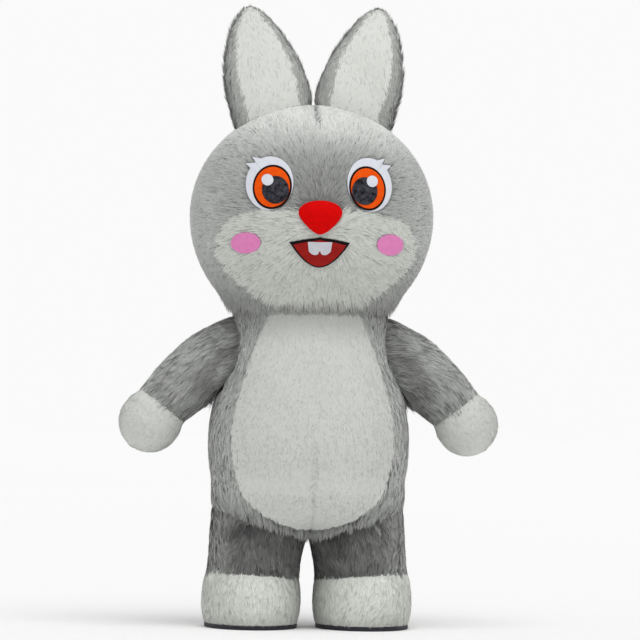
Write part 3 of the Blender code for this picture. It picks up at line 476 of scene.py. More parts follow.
# %% Normals
def ring_normals(grid):
    """Outward normals of closed rings, a tip ring taking the way the body ends."""
    across = np.roll(grid, -1, 1) - np.roll(grid, 1, 1)
    tip = np.abs(across[-1]).max() < 1e-6
    if tip:
        across[-1] = across[-2]
    normals = unit(np.cross(across, np.gradient(grid, axis=0)))
    if np.sum((grid - grid.mean(1, keepdims=True)) * normals) < 0:
        normals = -normals
    if tip:
        normals[-1] = unit(grid[-1, 0] - grid[-2].mean(0))
    return normals


def grid_normals(grid, outward):
    """Normals of an open grid, turned to the side that the outward vectors show."""
    normals = unit(np.cross(np.gradient(grid, axis=1), np.gradient(grid, axis=0)))
    return normals if np.sum(normals * outward) > 0 else -normals


# %% All panels of the left side and the middle
panels = {}
for name, angles in zip(("muzzle", "head_front", "head_back"), head_panels()):
    face = head_point(angles)
    panels[name] = (face, head_normal(face))
*torso_angles, armhole_row = torso_panels()
for name, angles in zip(("belly", "torso_front", "torso_back"), torso_angles):
    face = torso_point(angles)
    panels[name] = (face, grid_normals(face, face * np.array([1.0, 1.0, 0.0])))
in_front, behind = panels["torso_front"][0], panels["torso_back"][0]
hole_rows = np.s_[armhole_row : armhole_row + COLUMNS + 1]
arms, wrist = arm_rings(closed(in_front[hole_rows, 0], behind[hole_rows, 0]))
arm_normals = ring_normals(arms)
legs, ankle = leg_rings(closed(in_front[0], behind[0]))
leg_normals = ring_normals(legs)
front_half, back_half = np.arange(COLUMNS + 1), np.arange(COLUMNS, 2 * COLUMNS + 1) % (2 * COLUMNS)
for first, second, rings, normals, cut in (
    ("sleeve_{}_front", "sleeve_{}_back", arms, arm_normals, np.s_[: wrist + 1]),
    ("mitt_{}_front", "mitt_{}_back", arms, arm_normals, np.s_[wrist:]),
    ("leg_{}_front", "leg_{}_back", legs, leg_normals, np.s_[: ankle + 1]),
    ("foot_{}_vamp", "foot_{}_heel", legs, leg_normals, np.s_[ankle:]),
):
    for name, pick in ((first, front_half), (second, back_half)):
        panels[name] = (rings[cut][:, pick], normals[cut][:, pick])
# The ear's back panel wraps this far round the rim to the front.
EAR_WRAP, EAR_BACK_COLUMNS = math.radians(36.0), 48
ear_angles = np.concatenate([
    np.linspace(-EAR_WRAP, np.pi + EAR_WRAP, EAR_BACK_COLUMNS + 1)[:-1],
    np.linspace(np.pi + EAR_WRAP, 2 * np.pi - EAR_WRAP, COLUMNS + 1)[:-1],
])
ears = ear_ring(ear_angles)
ear_normals = ring_normals(ears)
wrapped = np.r_[EAR_BACK_COLUMNS : len(ear_angles), 0]
for name, pick in (("ear_{}_back", np.s_[: EAR_BACK_COLUMNS + 1]), ("ear_{}_inner", wrapped)):
    panels[name] = (ears[:, pick], ear_normals[:, pick])
for name, (face, normals) in panels.items():
    spread = face.reshape(-1, 3)
    print(name, face.shape, "reach", np.round(spread.min(0), 3), np.round(spread.max(0), 3))

# %% [markdown]
# ## The plush
# The real cloth is acrylic pile plush: a knitted polyester backing with fibres tufted through it,
# long and shaggy on the gray parts, medium on muzzle and feet, short on belly, mitts and inside
# the ears. It could be made with Blender's hair, but hair isn't kept with the model, so each
# fibre bundle is a thin tapered blade of real mesh: it starts on the backing, leans the way the
# plush is brushed, and bends down again. Neighbours share a tuft and their tips draw together,
# which gives the ragged look of long pile.

# %% Plush finishes
# Acrylic fibres: dull, roughness near 0.8, with a soft sheen where light grazes the tips.


def plush_finish(name, root, middle, tip, sheen):
    """Fibre colour from root to tip, the darker root being painted shade deep in the pile, made lighter or
    darker from tuft to tuft by the tone, which also carries each panel's painted light and shade.
    """
    finish, tree, shader = new_finish(
        name, Roughness=0.8, Specular_IOR_Level=0.1, Sheen_Weight=sheen, Sheen_Roughness=0.5
    )
    fibre = add(tree, "ShaderNodeAttribute", {"attribute_name": "fibre"})
    parts = add(tree, "ShaderNodeSeparateColor", i0=fibre.outputs["Color"])
    stops = [(0.0, root), (0.55, middle), (1.0, tip)]
    along = add(tree, "ShaderNodeValToRGB", stops=stops, i0=parts.outputs[0]).outputs[0]
    strength = add(tree, "ShaderNodeMapRange", i0=parts.outputs[1], i4=2.0).outputs[0]
    toned = add(tree, "ShaderNodeVectorMath", {"operation": "SCALE"}, i0=along, Scale=strength)
    wire(tree, shader, Base_Color=toned.outputs[0])
    return finish


LOOP_WAVES = 105.0  # a wave is 2 pi / 20 / this long, so 3 mm


def backing_finish(name, colour, dark):
    """Knitted polyester: rows of loops 1.5 mm apart, drawn 3 mm apart so that they show."""
    finish, tree, shader = new_finish(name, Roughness=0.95)
    place = add(tree, "ShaderNodeTexCoord").outputs["Object"]
    loops = add(
        tree, "ShaderNodeTexWave", {"bands_direction": "Z"}, Vector=place, Scale=LOOP_WAVES, Distortion=3.0
    ).outputs[1]
    blotch = add(tree, "ShaderNodeTexNoise", Vector=place, Scale=18.0, Detail=5.0).outputs[0]
    both = add(tree, "ShaderNodeMath", {"operation": "MULTIPLY"}, i0=loops, i1=blotch).outputs[0]
    yarn = add(tree, "ShaderNodeValToRGB", stops=[(0.0, dark), (0.8, colour)], i0=both)
    relief = add(tree, "ShaderNodeBump", Strength=0.4, Distance=0.001, Height=loops)
    wire(tree, shader, Base_Color=yarn.outputs[0], Normal=relief.outputs[0])
    return finish


# Root, middle and tip colours: the darker roots are painted shade of the deep pile.
GRAY_PILE = plush_finish("gray_acrylic_long_pile", "9A9C9A", "BBBDBA", "CED0CC", 0.20)
WHITE_PILE = plush_finish("white_acrylic_medium_pile", "C4C6C0", "D2D4CE", "DCDED8", 0.12)
SHORT_PILE = plush_finish("white_acrylic_short_pile", "D2D4CF", "D7D9D4", "DBDDD8", 0.10)
GRAY_BACKING = backing_finish("gray_knitted_backing", "9C9E9C", "8C8E8C")
WHITE_BACKING = backing_finish("white_knitted_backing", "D8DAD5", "CCCEC9")
print("plush finishes made")

# %% Waves of brushing
DICE = np.random.default_rng(5)
WAVE_WAYS = DICE.normal(size=(6, 3))
WAVE_STARTS = DICE.uniform(0, 2 * np.pi, size=(6, 3))


def waves(points, length):
    """Three slow, uneven fields from -1 to 1 over the points, with waves about this long."""
    ways = unit(WAVE_WAYS) * 2 * np.pi / length
    turns = (points @ ways.T)[..., None] + WAVE_STARTS
    return np.sin(turns + 1.7 * np.sin(turns[:, ::-1] * 0.63)).mean(1) * 1.6


def tangent(ways, normals):
    """The vectors laid onto the surface."""
    return unit(ways - normals * np.sum(ways * normals, -1, keepdims=True))


# %% Points scattered over a panel
def spots(face, normals, count):
    """Evenly scattered points with their normals and the way along the panel's rows."""
    area = cell_areas(face)
    flat = area.ravel() / area.sum()
    number = DICE.choice(len(flat), size=count, p=flat)
    r, k = np.divmod(number, face.shape[1] - 1)
    s, t = DICE.random((2, count, 1))

    def mix(grid):
        low = grid[r, k] * (1 - s) + grid[r, k + 1] * s
        return low * (1 - t) + (grid[r + 1, k] * (1 - s) + grid[r + 1, k + 1] * s) * t

    return mix(face), unit(mix(normals)), unit(face[r + 1, k] - face[r, k])


# %% Blades as one mesh
X, Y, Z = np.eye(3)  # to the wearer's left, to the back, and up
# Of a blade's length and width: how far a tuft draws together, where its blades bend, how wide
# they are there, how much they turn from one another, and what one cut with the scissors leaves.
TUFT_REACH, BEND_AT, BEND_WIDTH, STRAY, CUT_TO = 0.92, 0.42, 0.85, 0.14, 0.6


def blades(roots, middles, tips, sides, lights, widths):
    """Points and fibre values of all blades: four points and a tip each."""
    half = sides * widths[:, None] / 2
    bent = half * BEND_WIDTH
    points = np.stack([roots - half, roots + half, middles - bent, middles + bent, tips], 1)
    values = np.zeros((len(roots), 5, 4))
    values[:, :, 0] = [0.0, 0.0, 0.5, 0.5, 1.0]
    values[:, :, 1] = lights[:, None]
    values[:, :, 3] = 1.0
    return points, values


BLADE_LOOPS = np.array([0, 1, 3, 2, 2, 3, 4])
BLADE_MAP = np.array([(0.1, 0.1), (0.9, 0.1), (0.9, 0.5), (0.1, 0.5), (0.1, 0.5), (0.9, 0.5), (0.5, 0.9)])


def pile_object(name, points, values, bends, finish):
    """One mesh of all blades, lit by the bent normals, each blade with its own place on the map."""
    count = len(points)
    mesh = bpy.data.meshes.new(name)
    mesh.vertices.add(5 * count)
    moved = points + MIDDLE_Y * Y
    mesh.vertices.foreach_set("co", moved.reshape(-1).astype(np.float32))
    start = 5 * np.arange(count)[:, None]
    mesh.loops.add(7 * count)
    mesh.loops.foreach_set("vertex_index", (start + BLADE_LOOPS).ravel().astype(np.int32))
    mesh.polygons.add(2 * count)
    starts = np.stack([7 * np.arange(count), 7 * np.arange(count) + 4], 1)
    mesh.polygons.foreach_set("loop_start", starts.ravel().astype(np.int32))
    mesh.polygons.foreach_set("use_smooth", np.ones(2 * count, bool))
    mesh.update(calc_edges=True)
    cells = math.ceil(math.sqrt(count))
    corner = np.stack(np.divmod(np.arange(count), cells)[::-1], 1)[:, None, :]
    layer = mesh.uv_layers.new(name="OFBake")
    layer.data.foreach_set("uv", ((corner + BLADE_MAP) / cells).ravel().astype(np.float32))
    fibre = mesh.attributes.new("fibre", "FLOAT_COLOR", "POINT")
    fibre.data.foreach_set("color", values.reshape(-1).astype(np.float32))
    mesh.materials.append(finish)
    mesh.normals_split_custom_set_from_vertices(np.repeat(bends, 5, 0).astype(np.float32))
    return show(name, mesh)


# %% The pile of one panel
def pile(name, face, normals, kind, comb, clear, tone, share):
    """The pile of one panel: tufts scattered over it, a few blades in each."""
    shorten, fall, lift = kind.get("shorten"), kind.get("fall"), kind.get("lift")
    many = kind["tuft"]
    tufts = int(cell_areas(face).sum() * kind["blades"] * share / many)
    at, out, along = spots(face, normals, tufts)
    lean = tangent(comb(at, along) + kind["sway"] * waves(at, kind["swirl"]), out)
    if fall is not None:
        weight = fall(at)[:, None]
        lean = unit(lean * (1 - weight) - Z * weight)
    side = unit(np.cross(lean, out))
    long = kind["length"] * DICE.uniform(0.75, 1.25, (tufts, 1))
    if shorten is not None:
        long = long * shorten(at)[:, None]
    light = 0.5 * (1 + kind["spots"] * waves(at, kind["patch"])[:, 0] + DICE.normal(0, kind["mottle"], tufts))
    # The panel's tone paints light and shade into each tuft's lightness.
    light = light * tone(at)
    stand = kind["rise"] * DICE.uniform(-1.0, 1.0, (tufts, 1)) - kind["dip"]
    tuft_tip = at + lean * long * TUFT_REACH + out * stand
    if lift is not None:
        tuft_tip = tuft_tip + out * lift(at)[:, None]
    at, out, lean, side, long, tuft_tip, light = (
        np.repeat(v, many, 0) for v in (at, out, lean, side, long, tuft_tip, light)
    )
    count = len(at)
    spread = DICE.normal(0, kind["spread"], (2, count, 1))
    at = at + lean * spread[0] + side * spread[1]
    turned = unit(lean + side * DICE.normal(0, STRAY, (count, 1)))
    long = long * DICE.uniform(0.7, 1.15, (count, 1))
    own_tip = at + turned * long + out * DICE.uniform(-1.0, 1.0, (count, 1)) * kind["rise"]
    tips = own_tip + (tuft_tip - own_tip) * kind["draw"]
    crest = kind["crest"] + DICE.normal(0, 0.25, (count, 1)) * kind["rise"]
    middles = at + (tips - at) * BEND_AT + out * crest
    roots = at - out * kind["depth"]
    light = light * (1 + DICE.normal(0, kind["hair"], count))
    keep = np.ones(count, bool)
    if clear is not None:
        keep &= ~clear(at)
        for _ in range(2):  # cut twice, and left out if that isn't enough
            over = clear(tips)
            for end in (tips, middles):
                end[over] = at[over] + (end[over] - at[over]) * CUT_TO
        keep &= ~clear(tips)
    twist = DICE.normal(0, kind["twist"], (count, 1))
    across = unit(side * np.cos(twist) + out * np.sin(twist))
    bends = unit(out + lean * 0.15 + side * DICE.normal(0, kind["bend"], (count, 1)))
    widths = kind["width"] * DICE.uniform(0.7, 1.2, count)
    points, values = blades(roots[keep], middles[keep], tips[keep], across[keep], light[keep], widths[keep])
    return pile_object(name, points, values, bends[keep], kind["finish"])


# %% Kinds of pile, in metres
def step(value, low, high):
    """From 0 to 1, softly, as the value goes from low to high."""
    t = np.clip((value - low) / (high - low), 0, 1)
    return t * t * (3 - 2 * t)


def higher(points, low, high):
    """From 0 to 1 as the points rise from low to high."""
    return step(points[:, 2], low, high)


def lower(points, low, high):
    """From 1 to 0 as the points rise from low to high."""
    return 1 - higher(points, low, high)


def chin_fall(points):
    """Under the chin the pile hangs straight down over the neck."""
    return lower(points, 1.33, 1.43)


def hem_fall(points):
    """At the torso's lower edge the pile hangs over the tops of the legs."""
    return lower(points, 0.43, 0.54)


def hem_trim(points):
    """The pile is a little shorter along the torso's lower edge."""
    return 1 - 0.45 * lower(points, 0.42, 0.50)


def ear_trim(points):
    """The pile is cut shorter towards the tips of the ears."""
    return 1 - 0.55 * higher(points, 2.46, 2.60)


def ankle_lift(points):
    """At the ankles the pile stands off, over the top of the feet."""
    return 0.014 * lower(points, 0.235, 0.30)


ARM_OUT, ARM_DOWN = 0.538, 0.843  # the way of the arms, sideways and down


def cuff_lift(points):
    """At the wrists the pile stands off, over the edge of the mitts."""
    down_the_arm = (np.abs(points[:, 0]) - 0.42) * ARM_OUT - (points[:, 2] - 1.22) * ARM_DOWN
    return 0.016 * step(down_the_arm, 0.32, 0.39)


LONG = dict(
    slot="gray_long_pile", backing=GRAY_BACKING, finish=GRAY_PILE, blades=38500, tuft=6, length=0.056,
    width=0.0029, depth=0.008, spread=0.0060, draw=0.45, rise=0.0030, dip=0.003, crest=-0.001, sway=0.38,
    swirl=0.42, patch=0.22, spots=0.06, mottle=0.08, hair=0.08, twist=0.40, bend=0.14,
)
TRUNK = dict(LONG, fall=hem_fall, shorten=hem_trim)
SHAGGY = dict(LONG, tuft=9, spread=0.0075, draw=0.55, mottle=0.15, spots=0.12, patch=0.12)
SLEEVE_LONG = dict(SHAGGY, lift=cuff_lift)
LEG_LONG = dict(SHAGGY, lift=ankle_lift)
COMBED = dict(
    LONG, tuft=3, length=0.044, depth=0.007, draw=0.25, rise=0.0015, sway=0.2, spots=0.04, mottle=0.04,
    hair=0.05, twist=0.25, bend=0.08, fall=chin_fall,
)
EAR_LONG = dict(COMBED, fall=None, shorten=ear_trim, sway=0.3, mottle=0.08)
MEDIUM = dict(
    LONG, slot="white_pile", backing=WHITE_BACKING, finish=WHITE_PILE, tuft=4, length=0.040, depth=0.006,
    draw=0.35, rise=0.0015, spots=0.02, mottle=0.02, hair=0.025, twist=0.25, bend=0.06,
)
CHIN_WHITE = dict(MEDIUM, fall=chin_fall)
FOOT_WHITE = dict(MEDIUM, length=0.036, depth=0.004, draw=0.22, rise=0.001, mottle=0.03)
SHORT = dict(
    LONG, slot="white_short_pile", backing=WHITE_BACKING, finish=SHORT_PILE, tuft=2, length=0.022,
    width=0.0042, depth=0.0008, spread=0.004, draw=0.1, rise=0.0002, dip=0.0002, crest=-0.0001, sway=0.5,
    spots=0.02, mottle=0.008, hair=0.008, twist=0.08, bend=0.03,
)
EAR_SHORT = dict(SHORT, shorten=ear_trim)
print("pile kinds set")

# %% [markdown]
# ## Where the pile gives way
# Eyes, nose, mouth and cheeks are cut from smooth cloth and sewn on, and the pile around them is
# trimmed so that it only just laps over their edges. The outlines are simple shapes, seen from
# the front. They serve twice: to trim the pile here, and to cut the pieces themselves below.

# %% Outlines of the face pieces
# Each oval: x and z of its middle, half width, half height.
EYE_WHITE, IRIS = (0.207, 1.850, 0.095, 0.112), (0.196, 1.834, 0.078, 0.092)
PUPIL, HIGHLIGHT = (0.183, 1.822, 0.054, 0.057), (0.214, 1.862, 0.0235, 0.0235)
CHEEK = (0.300, 1.603, 0.058, 0.043)
LASHES, LASH_LENGTH, LASH_HALF = (43.0, 60.0), 0.028, 8.0
EYE_TILT = math.radians(10)
NOSE_TOP, NOSE_TIP, NOSE_HALF = 1.781, 1.641, 0.092
NOSE_MIDDLE_Z = (NOSE_TOP + NOSE_TIP) / 2 + 0.010
MOUTH_HALF, MOUTH_CORNER_Z, MOUTH_RISE, MOUTH_DROP, MOUTH_BORDER = 0.125, 1.608, 0.018, 0.103, 0.010
TOOTH_HALF, TOOTH_LOW, TOOTH_NOTCH = 0.050, 1.558, 0.010


def tilted(x, z, across, up, lean):
    """Outline points round a middle, leaning inward at the top by this angle."""
    cos, sin = math.cos(lean), math.sin(lean)
    return np.stack([x + across * cos - up * sin, z + across * sin + up * cos], -1)


def oval(sizes, count=96, lean=0.0):
    x, z, half_x, half_z = sizes
    angle = np.linspace(0, 2 * np.pi, count, endpoint=False)
    return tilted(x, z, half_x * np.cos(angle), half_z * np.sin(angle), lean)


def eye_outline(count=240):
    """The white of the eye, with two curved lash points at its outer upper side."""
    x, z, half_x, half_z = EYE_WHITE
    degree = np.linspace(0, 360, count, endpoint=False)
    extra = np.zeros(count)
    for middle in LASHES:
        near = np.clip(1 - np.abs(degree - middle) / LASH_HALF, 0, 1)
        extra = np.maximum(extra, LASH_LENGTH * near**1.4)
    angle = np.radians(degree - 210 * extra) - EYE_TILT
    return tilted(x, z, (half_x + extra) * np.cos(angle), (half_z + extra) * np.sin(angle), EYE_TILT)


def nose_outline(count=96):
    """A triangle with round corners, point down."""
    angle = np.linspace(0, 2 * np.pi, count, endpoint=False)
    up = np.sin(angle)
    x = NOSE_HALF * np.cos(angle) * (1 + 0.16 * up) / 1.03
    z = NOSE_MIDDLE_Z + np.where(up > 0, NOSE_TOP - NOSE_MIDDLE_Z, NOSE_MIDDLE_Z - NOSE_TIP) * up
    return np.stack([x * (1 - 0.30 * np.clip(-up, 0, 1) ** 1.2), z], -1)


def mouth_outline(border, count=48):
    """An open smile: a low arch above, a deep bow below, made smaller by the border."""
    half = MOUTH_HALF - 1.6 * border
    t = np.linspace(-1, 1, count + 1)
    arch = MOUTH_RISE * (1 - np.abs(t) ** 1.5) + 0.004 * np.exp(-((t / 0.07) ** 2))
    upper = np.stack([t * half, MOUTH_CORNER_Z + arch - border], -1)
    bow = MOUTH_CORNER_Z - border - (MOUTH_DROP - 1.6 * border) * (1 - np.abs(t) ** 1.9)
    return closed(upper, np.stack([t * half, bow], -1))


def teeth_outline():
    """Two front teeth: a block with round lower corners and a small notch in the middle."""
    top = MOUTH_CORNER_Z + MOUTH_RISE - MOUTH_BORDER - 0.005
    t = np.linspace(0, 1, 25)
    x = TOOTH_HALF * (1 - 0.12 * t) * (1 - np.clip(t - 0.75, 0, 1) ** 2 * 3)
    side = np.stack([x, top + (TOOTH_LOW + 0.006 - top) * t], -1)
    u = np.linspace(0, 1, 15)[1:]
    low = TOOTH_LOW + 0.006 * (1 - np.sin(np.pi * np.clip(u * 1.1, 0, 1)) ** 0.7)
    low = low + TOOTH_NOTCH * np.exp(-(((1 - u) / 0.12) ** 2))
    base = np.stack([x[-1] * (1 - u), low], -1)
    half = np.concatenate([side, base])
    return np.concatenate([half, (half * np.array([-1.0, 1.0]))[::-1][1:]])


# %% Where a face piece covers the pile
def inside(outline, x, z):
    """Whether each point lies inside the outline."""
    hit = np.zeros(x.shape, bool)
    for (ax, az), (bx, bz) in zip(outline, np.roll(outline, -1, 0)):
        if az != bz:
            cross = (az > z) != (bz > z)
            hit ^= cross & (x < (bx - ax) * (z - az) / (bz - az) + ax)
    return hit


def face_clear(points):
    """True where a face piece covers the pile."""
    x, z = np.abs(points[:, 0]), points[:, 2]
    out = np.zeros(len(points), bool)
    for outline in (eye_outline(120), oval(CHEEK, 48), nose_outline(48), mouth_outline(0.0, 24)):
        near = (points[:, 1] < 0) & (x > outline[:, 0].min() - 0.01) & (x < outline[:, 0].max() + 0.01)
        near &= (z > outline[:, 1].min() - 0.01) & (z < outline[:, 1].max() + 0.01)
        out[near] |= inside(outline, x[near], z[near])
    return out


print("eye outline", np.round(eye_outline().min(0), 3), np.round(eye_outline().max(0), 3))

# %% [markdown]
# ## Backing and pile of every panel
# Each panel is one cut piece of plush. Its backing is a thin closed shell under the pile; the pile
# is a separate mesh that goes with it. The plush is brushed outward from the nose on the head,
# down on the torso and legs, along the arms to the hands, and up the ears. Where a sleeve or a leg
# is sewn in, its backing is tucked a little under the torso's, so that no gap opens at the seam.

# %% Backing shells
BACKING_THICK, TUCK_IN = 0.003, 1.2  # metres; times the pile's depth


def closed_sheet(rows, columns):
    """Faces of a thin sheet: a grid of points, the same grid again beneath it, and the rim."""
    count = rows * columns
    number = np.arange(count).reshape(rows, columns)
    a, b, c, d = (v.ravel() for v in (number[:-1, :-1], number[:-1, 1:], number[1:, 1:], number[1:, :-1]))
    top = np.stack([a, b, c, d], 1)
    rim = np.concatenate([number[0, :-1], number[:-1, -1], number[-1, :0:-1], number[:0:-1, 0]])
    after = np.roll(rim, -1)
    walls = np.stack([rim, rim + count, after + count, after], 1)
    return np.concatenate([top, top[:, ::-1] + count, walls]).tolist()


def shell(name, face, normals, kind, tucked):
    """The backing: a closed thin shell under the pile's ends, as deep as this kind of pile."""
    depth = kind["depth"]
    if len(face) % 2:
        face, normals = face[::2, ::2], normals[::2, ::2]
    if tucked:
        extra = face[0] - unit(face[1] - face[0]) * depth * TUCK_IN
        face, normals = np.concatenate([extra[None], face]), np.concatenate([normals[:1], normals])
    outer = face - normals * depth
    points = np.concatenate([outer.reshape(-1, 3), (outer - normals * BACKING_THICK).reshape(-1, 3)])
    return mesh_piece(name, points, closed_sheet(*face.shape[:2]), kind["backing"], merge=True)


def mesh_piece(name, points, faces, finish, merge=False, flat=False):
    """An object from table points: moved to the frame's middle, its faces turned outward."""
    mesh = bpy.data.meshes.new(name)
    moved = np.asarray(points, float) + MIDDLE_Y * Y
    mesh.from_pydata(moved.tolist(), [], faces)
    body = bmesh.new()
    body.from_mesh(mesh)
    if merge:
        bmesh.ops.remove_doubles(body, verts=body.verts, dist=1e-5)
        bmesh.ops.dissolve_degenerate(body, edges=body.edges, dist=1e-6)
    bmesh.ops.recalc_face_normals(body, faces=body.faces)
    for one in body.faces:
        one.smooth = not flat
    body.to_mesh(mesh)
    body.free()
    for one in finish if isinstance(finish, list) else [finish]:
        mesh.materials.append(one)
    return show(name, mesh)


def hand_over(piece, node=None):
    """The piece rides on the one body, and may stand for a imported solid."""
    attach(piece, "root")
    if node:
        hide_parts(node)


# %% How each panel is brushed
NOSE_PLACE, MOUTH_PLACE = np.array([0.0, -0.47, 1.72]), np.array([0.0, -0.5, 1.62])
INSTEP_X, INSTEP = 0.238, np.array([0.0, -0.12, 0.153])
# The two seams whose parting shows: on the crown, and low in the middle of the belly. The parting
# reaches this far to each side, and the dark line in it this far.
CROWN_SEAM, BELLY_SEAM, PARTING, GROOVE = (2.09, 2.30), (0.42, 0.80), 0.014, 0.004


def from_nose(points, along):
    """Outward from the nose in front, over the crown, and down at the back."""
    way = unit(points - NOSE_PLACE)
    behind = np.clip((points[:, 1:2] + 0.05) / 0.3, 0, 1)
    low = np.clip((1.70 - points[:, 2:3]) / 0.25, 0, 1)
    return way - Z * (1.6 * behind + 0.5 * low)


def from_mouth(points, along):
    return unit(points - MOUTH_PLACE) - 0.35 * Z


def parted(points, low, high):
    """Sideways from a seam at the middle: 1 beside it, 0 a finger's width away."""
    near = np.exp(-((points[:, 0] / PARTING) ** 2)) * (points[:, 1] < 0)
    near = near * (points[:, 2] > low) * (points[:, 2] < high)
    return (np.sign(points[:, 0]) * near)[:, None] * X


def over_crown(points, along):
    return from_nose(points, along) + parted(points, *CROWN_SEAM)


def downward(points, along):
    return -along - 0.4 * Z + 0.12 * X * np.sign(points[:, :1]) + 1.3 * parted(points, *BELLY_SEAM)


def with_rows(points, along):
    return along


def in_waves(points, along):
    """On the legs the pile runs down in slow waves, pressed this way and that by handling."""
    return along + 0.5 * waves(points, 0.13)


def from_instep(points, along):
    """On the feet the pile turns outward all round from a whorl on the instep."""
    whorl = INSTEP + INSTEP_X * X * np.sign(points[:, :1])
    down = 0.25 + 1.2 * higher(points, 0.125, 0.150)
    return unit(points - whorl) + down[:, None] * along


def up_and_over(points, along):
    """Up the ear, and forward over its front seam."""
    return along - 0.6 * Y


# %% The tone of each panel's pile, with its painted light and painted shade
def seam_shade(points, low, high):
    """Darker in the parting of a seam."""
    near = np.exp(-((points[:, 0] / GROOVE) ** 2)) * (points[:, 1] < 0)
    return 1 - 0.20 * near * higher(points, low, low + 0.03) * lower(points, high - 0.05, high)


def head_painted_light_and_shade(points):
    """Painted light: paler on the crown, where the pile faces the light from above; painted shade low on the
    head and under the jaw; darkest between the eyes.
    """
    away = np.hypot(points[:, 0] / 0.33, (points[:, 2] - 1.80) / 0.25)
    dark = 0.52 * np.exp(-(away**2)) * (points[:, 1] < 0) + 0.38 * lower(points, 1.36, 1.66)
    return (1.14 + 0.44 * higher(points, 1.92, 2.12) - dark) * seam_shade(points, *CROWN_SEAM)


def muzzle_tone_and_painted_shade(points):
    """Whitest along its upper edge; grayer below the mouth, painted shade where the muzzle turns down; much
    darker under the chin, partly for the gray chin pile and partly painted shade.
    """
    return 1.12 - 0.10 * lower(points, 1.45, 1.62) - 0.42 * lower(points, 1.345, 1.385)


def torso_painted_light_and_shade(points):
    """Painted shade: darker towards the hem, where the pile hangs in its own shade, and below the head under
    the chin; painted light: a little paler on the wearer's left side, which faces the key light.
    """
    hem = 0.36 * lower(points, 0.42, 0.66)
    collar = 0.22 * higher(points, 1.16, 1.30) + 0.16 * higher(points, 1.28, 1.38)
    return 1.09 + 0.06 * step(points[:, 0], 0.15, 0.35) - hem - collar


# Painted shade: the belly is darker at its top, under the chin, and darker in the seam's parting.
def belly_painted_shade(points):
    return (0.98 - 0.26 * higher(points, 1.18, 1.32)) * seam_shade(points, *BELLY_SEAM)


def mitt_tone(points):
    return np.ones(len(points))


EAR_RIM = np.concatenate([panels["ear_{}_inner"][0][:, 0], panels["ear_{}_inner"][0][:, -1]])


def ear_inner_tone(points):
    """White, but grayed in a ragged band along both sides, where the longer gray pile laps over."""
    same_side = points * np.array([np.sign(points[0, 0]), 1.0, 1.0])
    away = np.linalg.norm(same_side[:, None] - EAR_RIM[None], axis=-1).min(1)
    band = 0.034 - 0.024 * higher(points, 2.08, 2.55) + DICE.normal(0, 0.004, len(points))
    return np.where(away < band, DICE.uniform(0.50, 0.72, len(points)), 1.10)


def ear_tone(points):
    return 0.98 + 0.24 * higher(points, 2.2, 2.5)


def sleeve_painted_light_and_shade(points):
    """Painted light and shade: paler on the upper side, which faces the light from above, and near the
    shoulder; darker under the arm; soft crease lines round the limb with darker hollows.
    """
    out = np.abs(points[:, 0])
    above = (out - 0.52) * ARM_DOWN + (points[:, 2] - 1.06) * ARM_OUT
    crease_shade = waves(points * np.array([1.0, 0.5, 2.0]), 0.26)[:, 0]
    armpit_shade = step(-above, 0.0, 0.08) * (1 - step(out, 0.42, 0.54))
    shoulder = 1 - step(out, 0.44, 0.60)
    return 0.80 + 0.14 * crease_shade + 0.24 * np.clip(above / 0.10, -1, 1) - 0.18 * armpit_shade + 0.14 * shoulder


def leg_tone_and_painted_shade(points):
    """Painted shade: darkest on the inner sides, which shade each other, a little darker at the top just
    under the torso's hem, with soft crease lines across and darker hollows. The low level of the whole leg is
    partly a darker pile and partly painted shade.
    """
    crease_shade = waves(points * np.array([0.7, 0.5, 2.2]), 0.24)[:, 1]
    under_hem_shade = higher(points, 0.34, 0.42)
    return 0.35 + 0.14 * crease_shade + 0.38 * step(np.abs(points[:, 0]), 0.26, 0.39) - 0.08 * under_hem_shade


def foot_tone(points):
    return 1.20 - 0.22 * lower(points, 0.02, 0.10)


# %% What trims the pile at soles and zip
ZIP_CLEAR = 0.0095  # this far from the zip's middle


def over_sole(points):
    return points[:, 2] < 0.010 + 0.004 * waves(points, 0.03)[:, 0]


def over_zip(points):
    low = (points[:, 2] > ZIP_LOW) & (points[:, 2] < ZIP_HIGH)
    return low & (np.abs(points[:, 0]) < ZIP_CLEAR) & (points[:, 1] > 0)


# %% Cut and sew all panels
BOTH_SIDES = (("left", np.ones(3)), ("right", np.array([-1.0, 1.0, 1.0])))
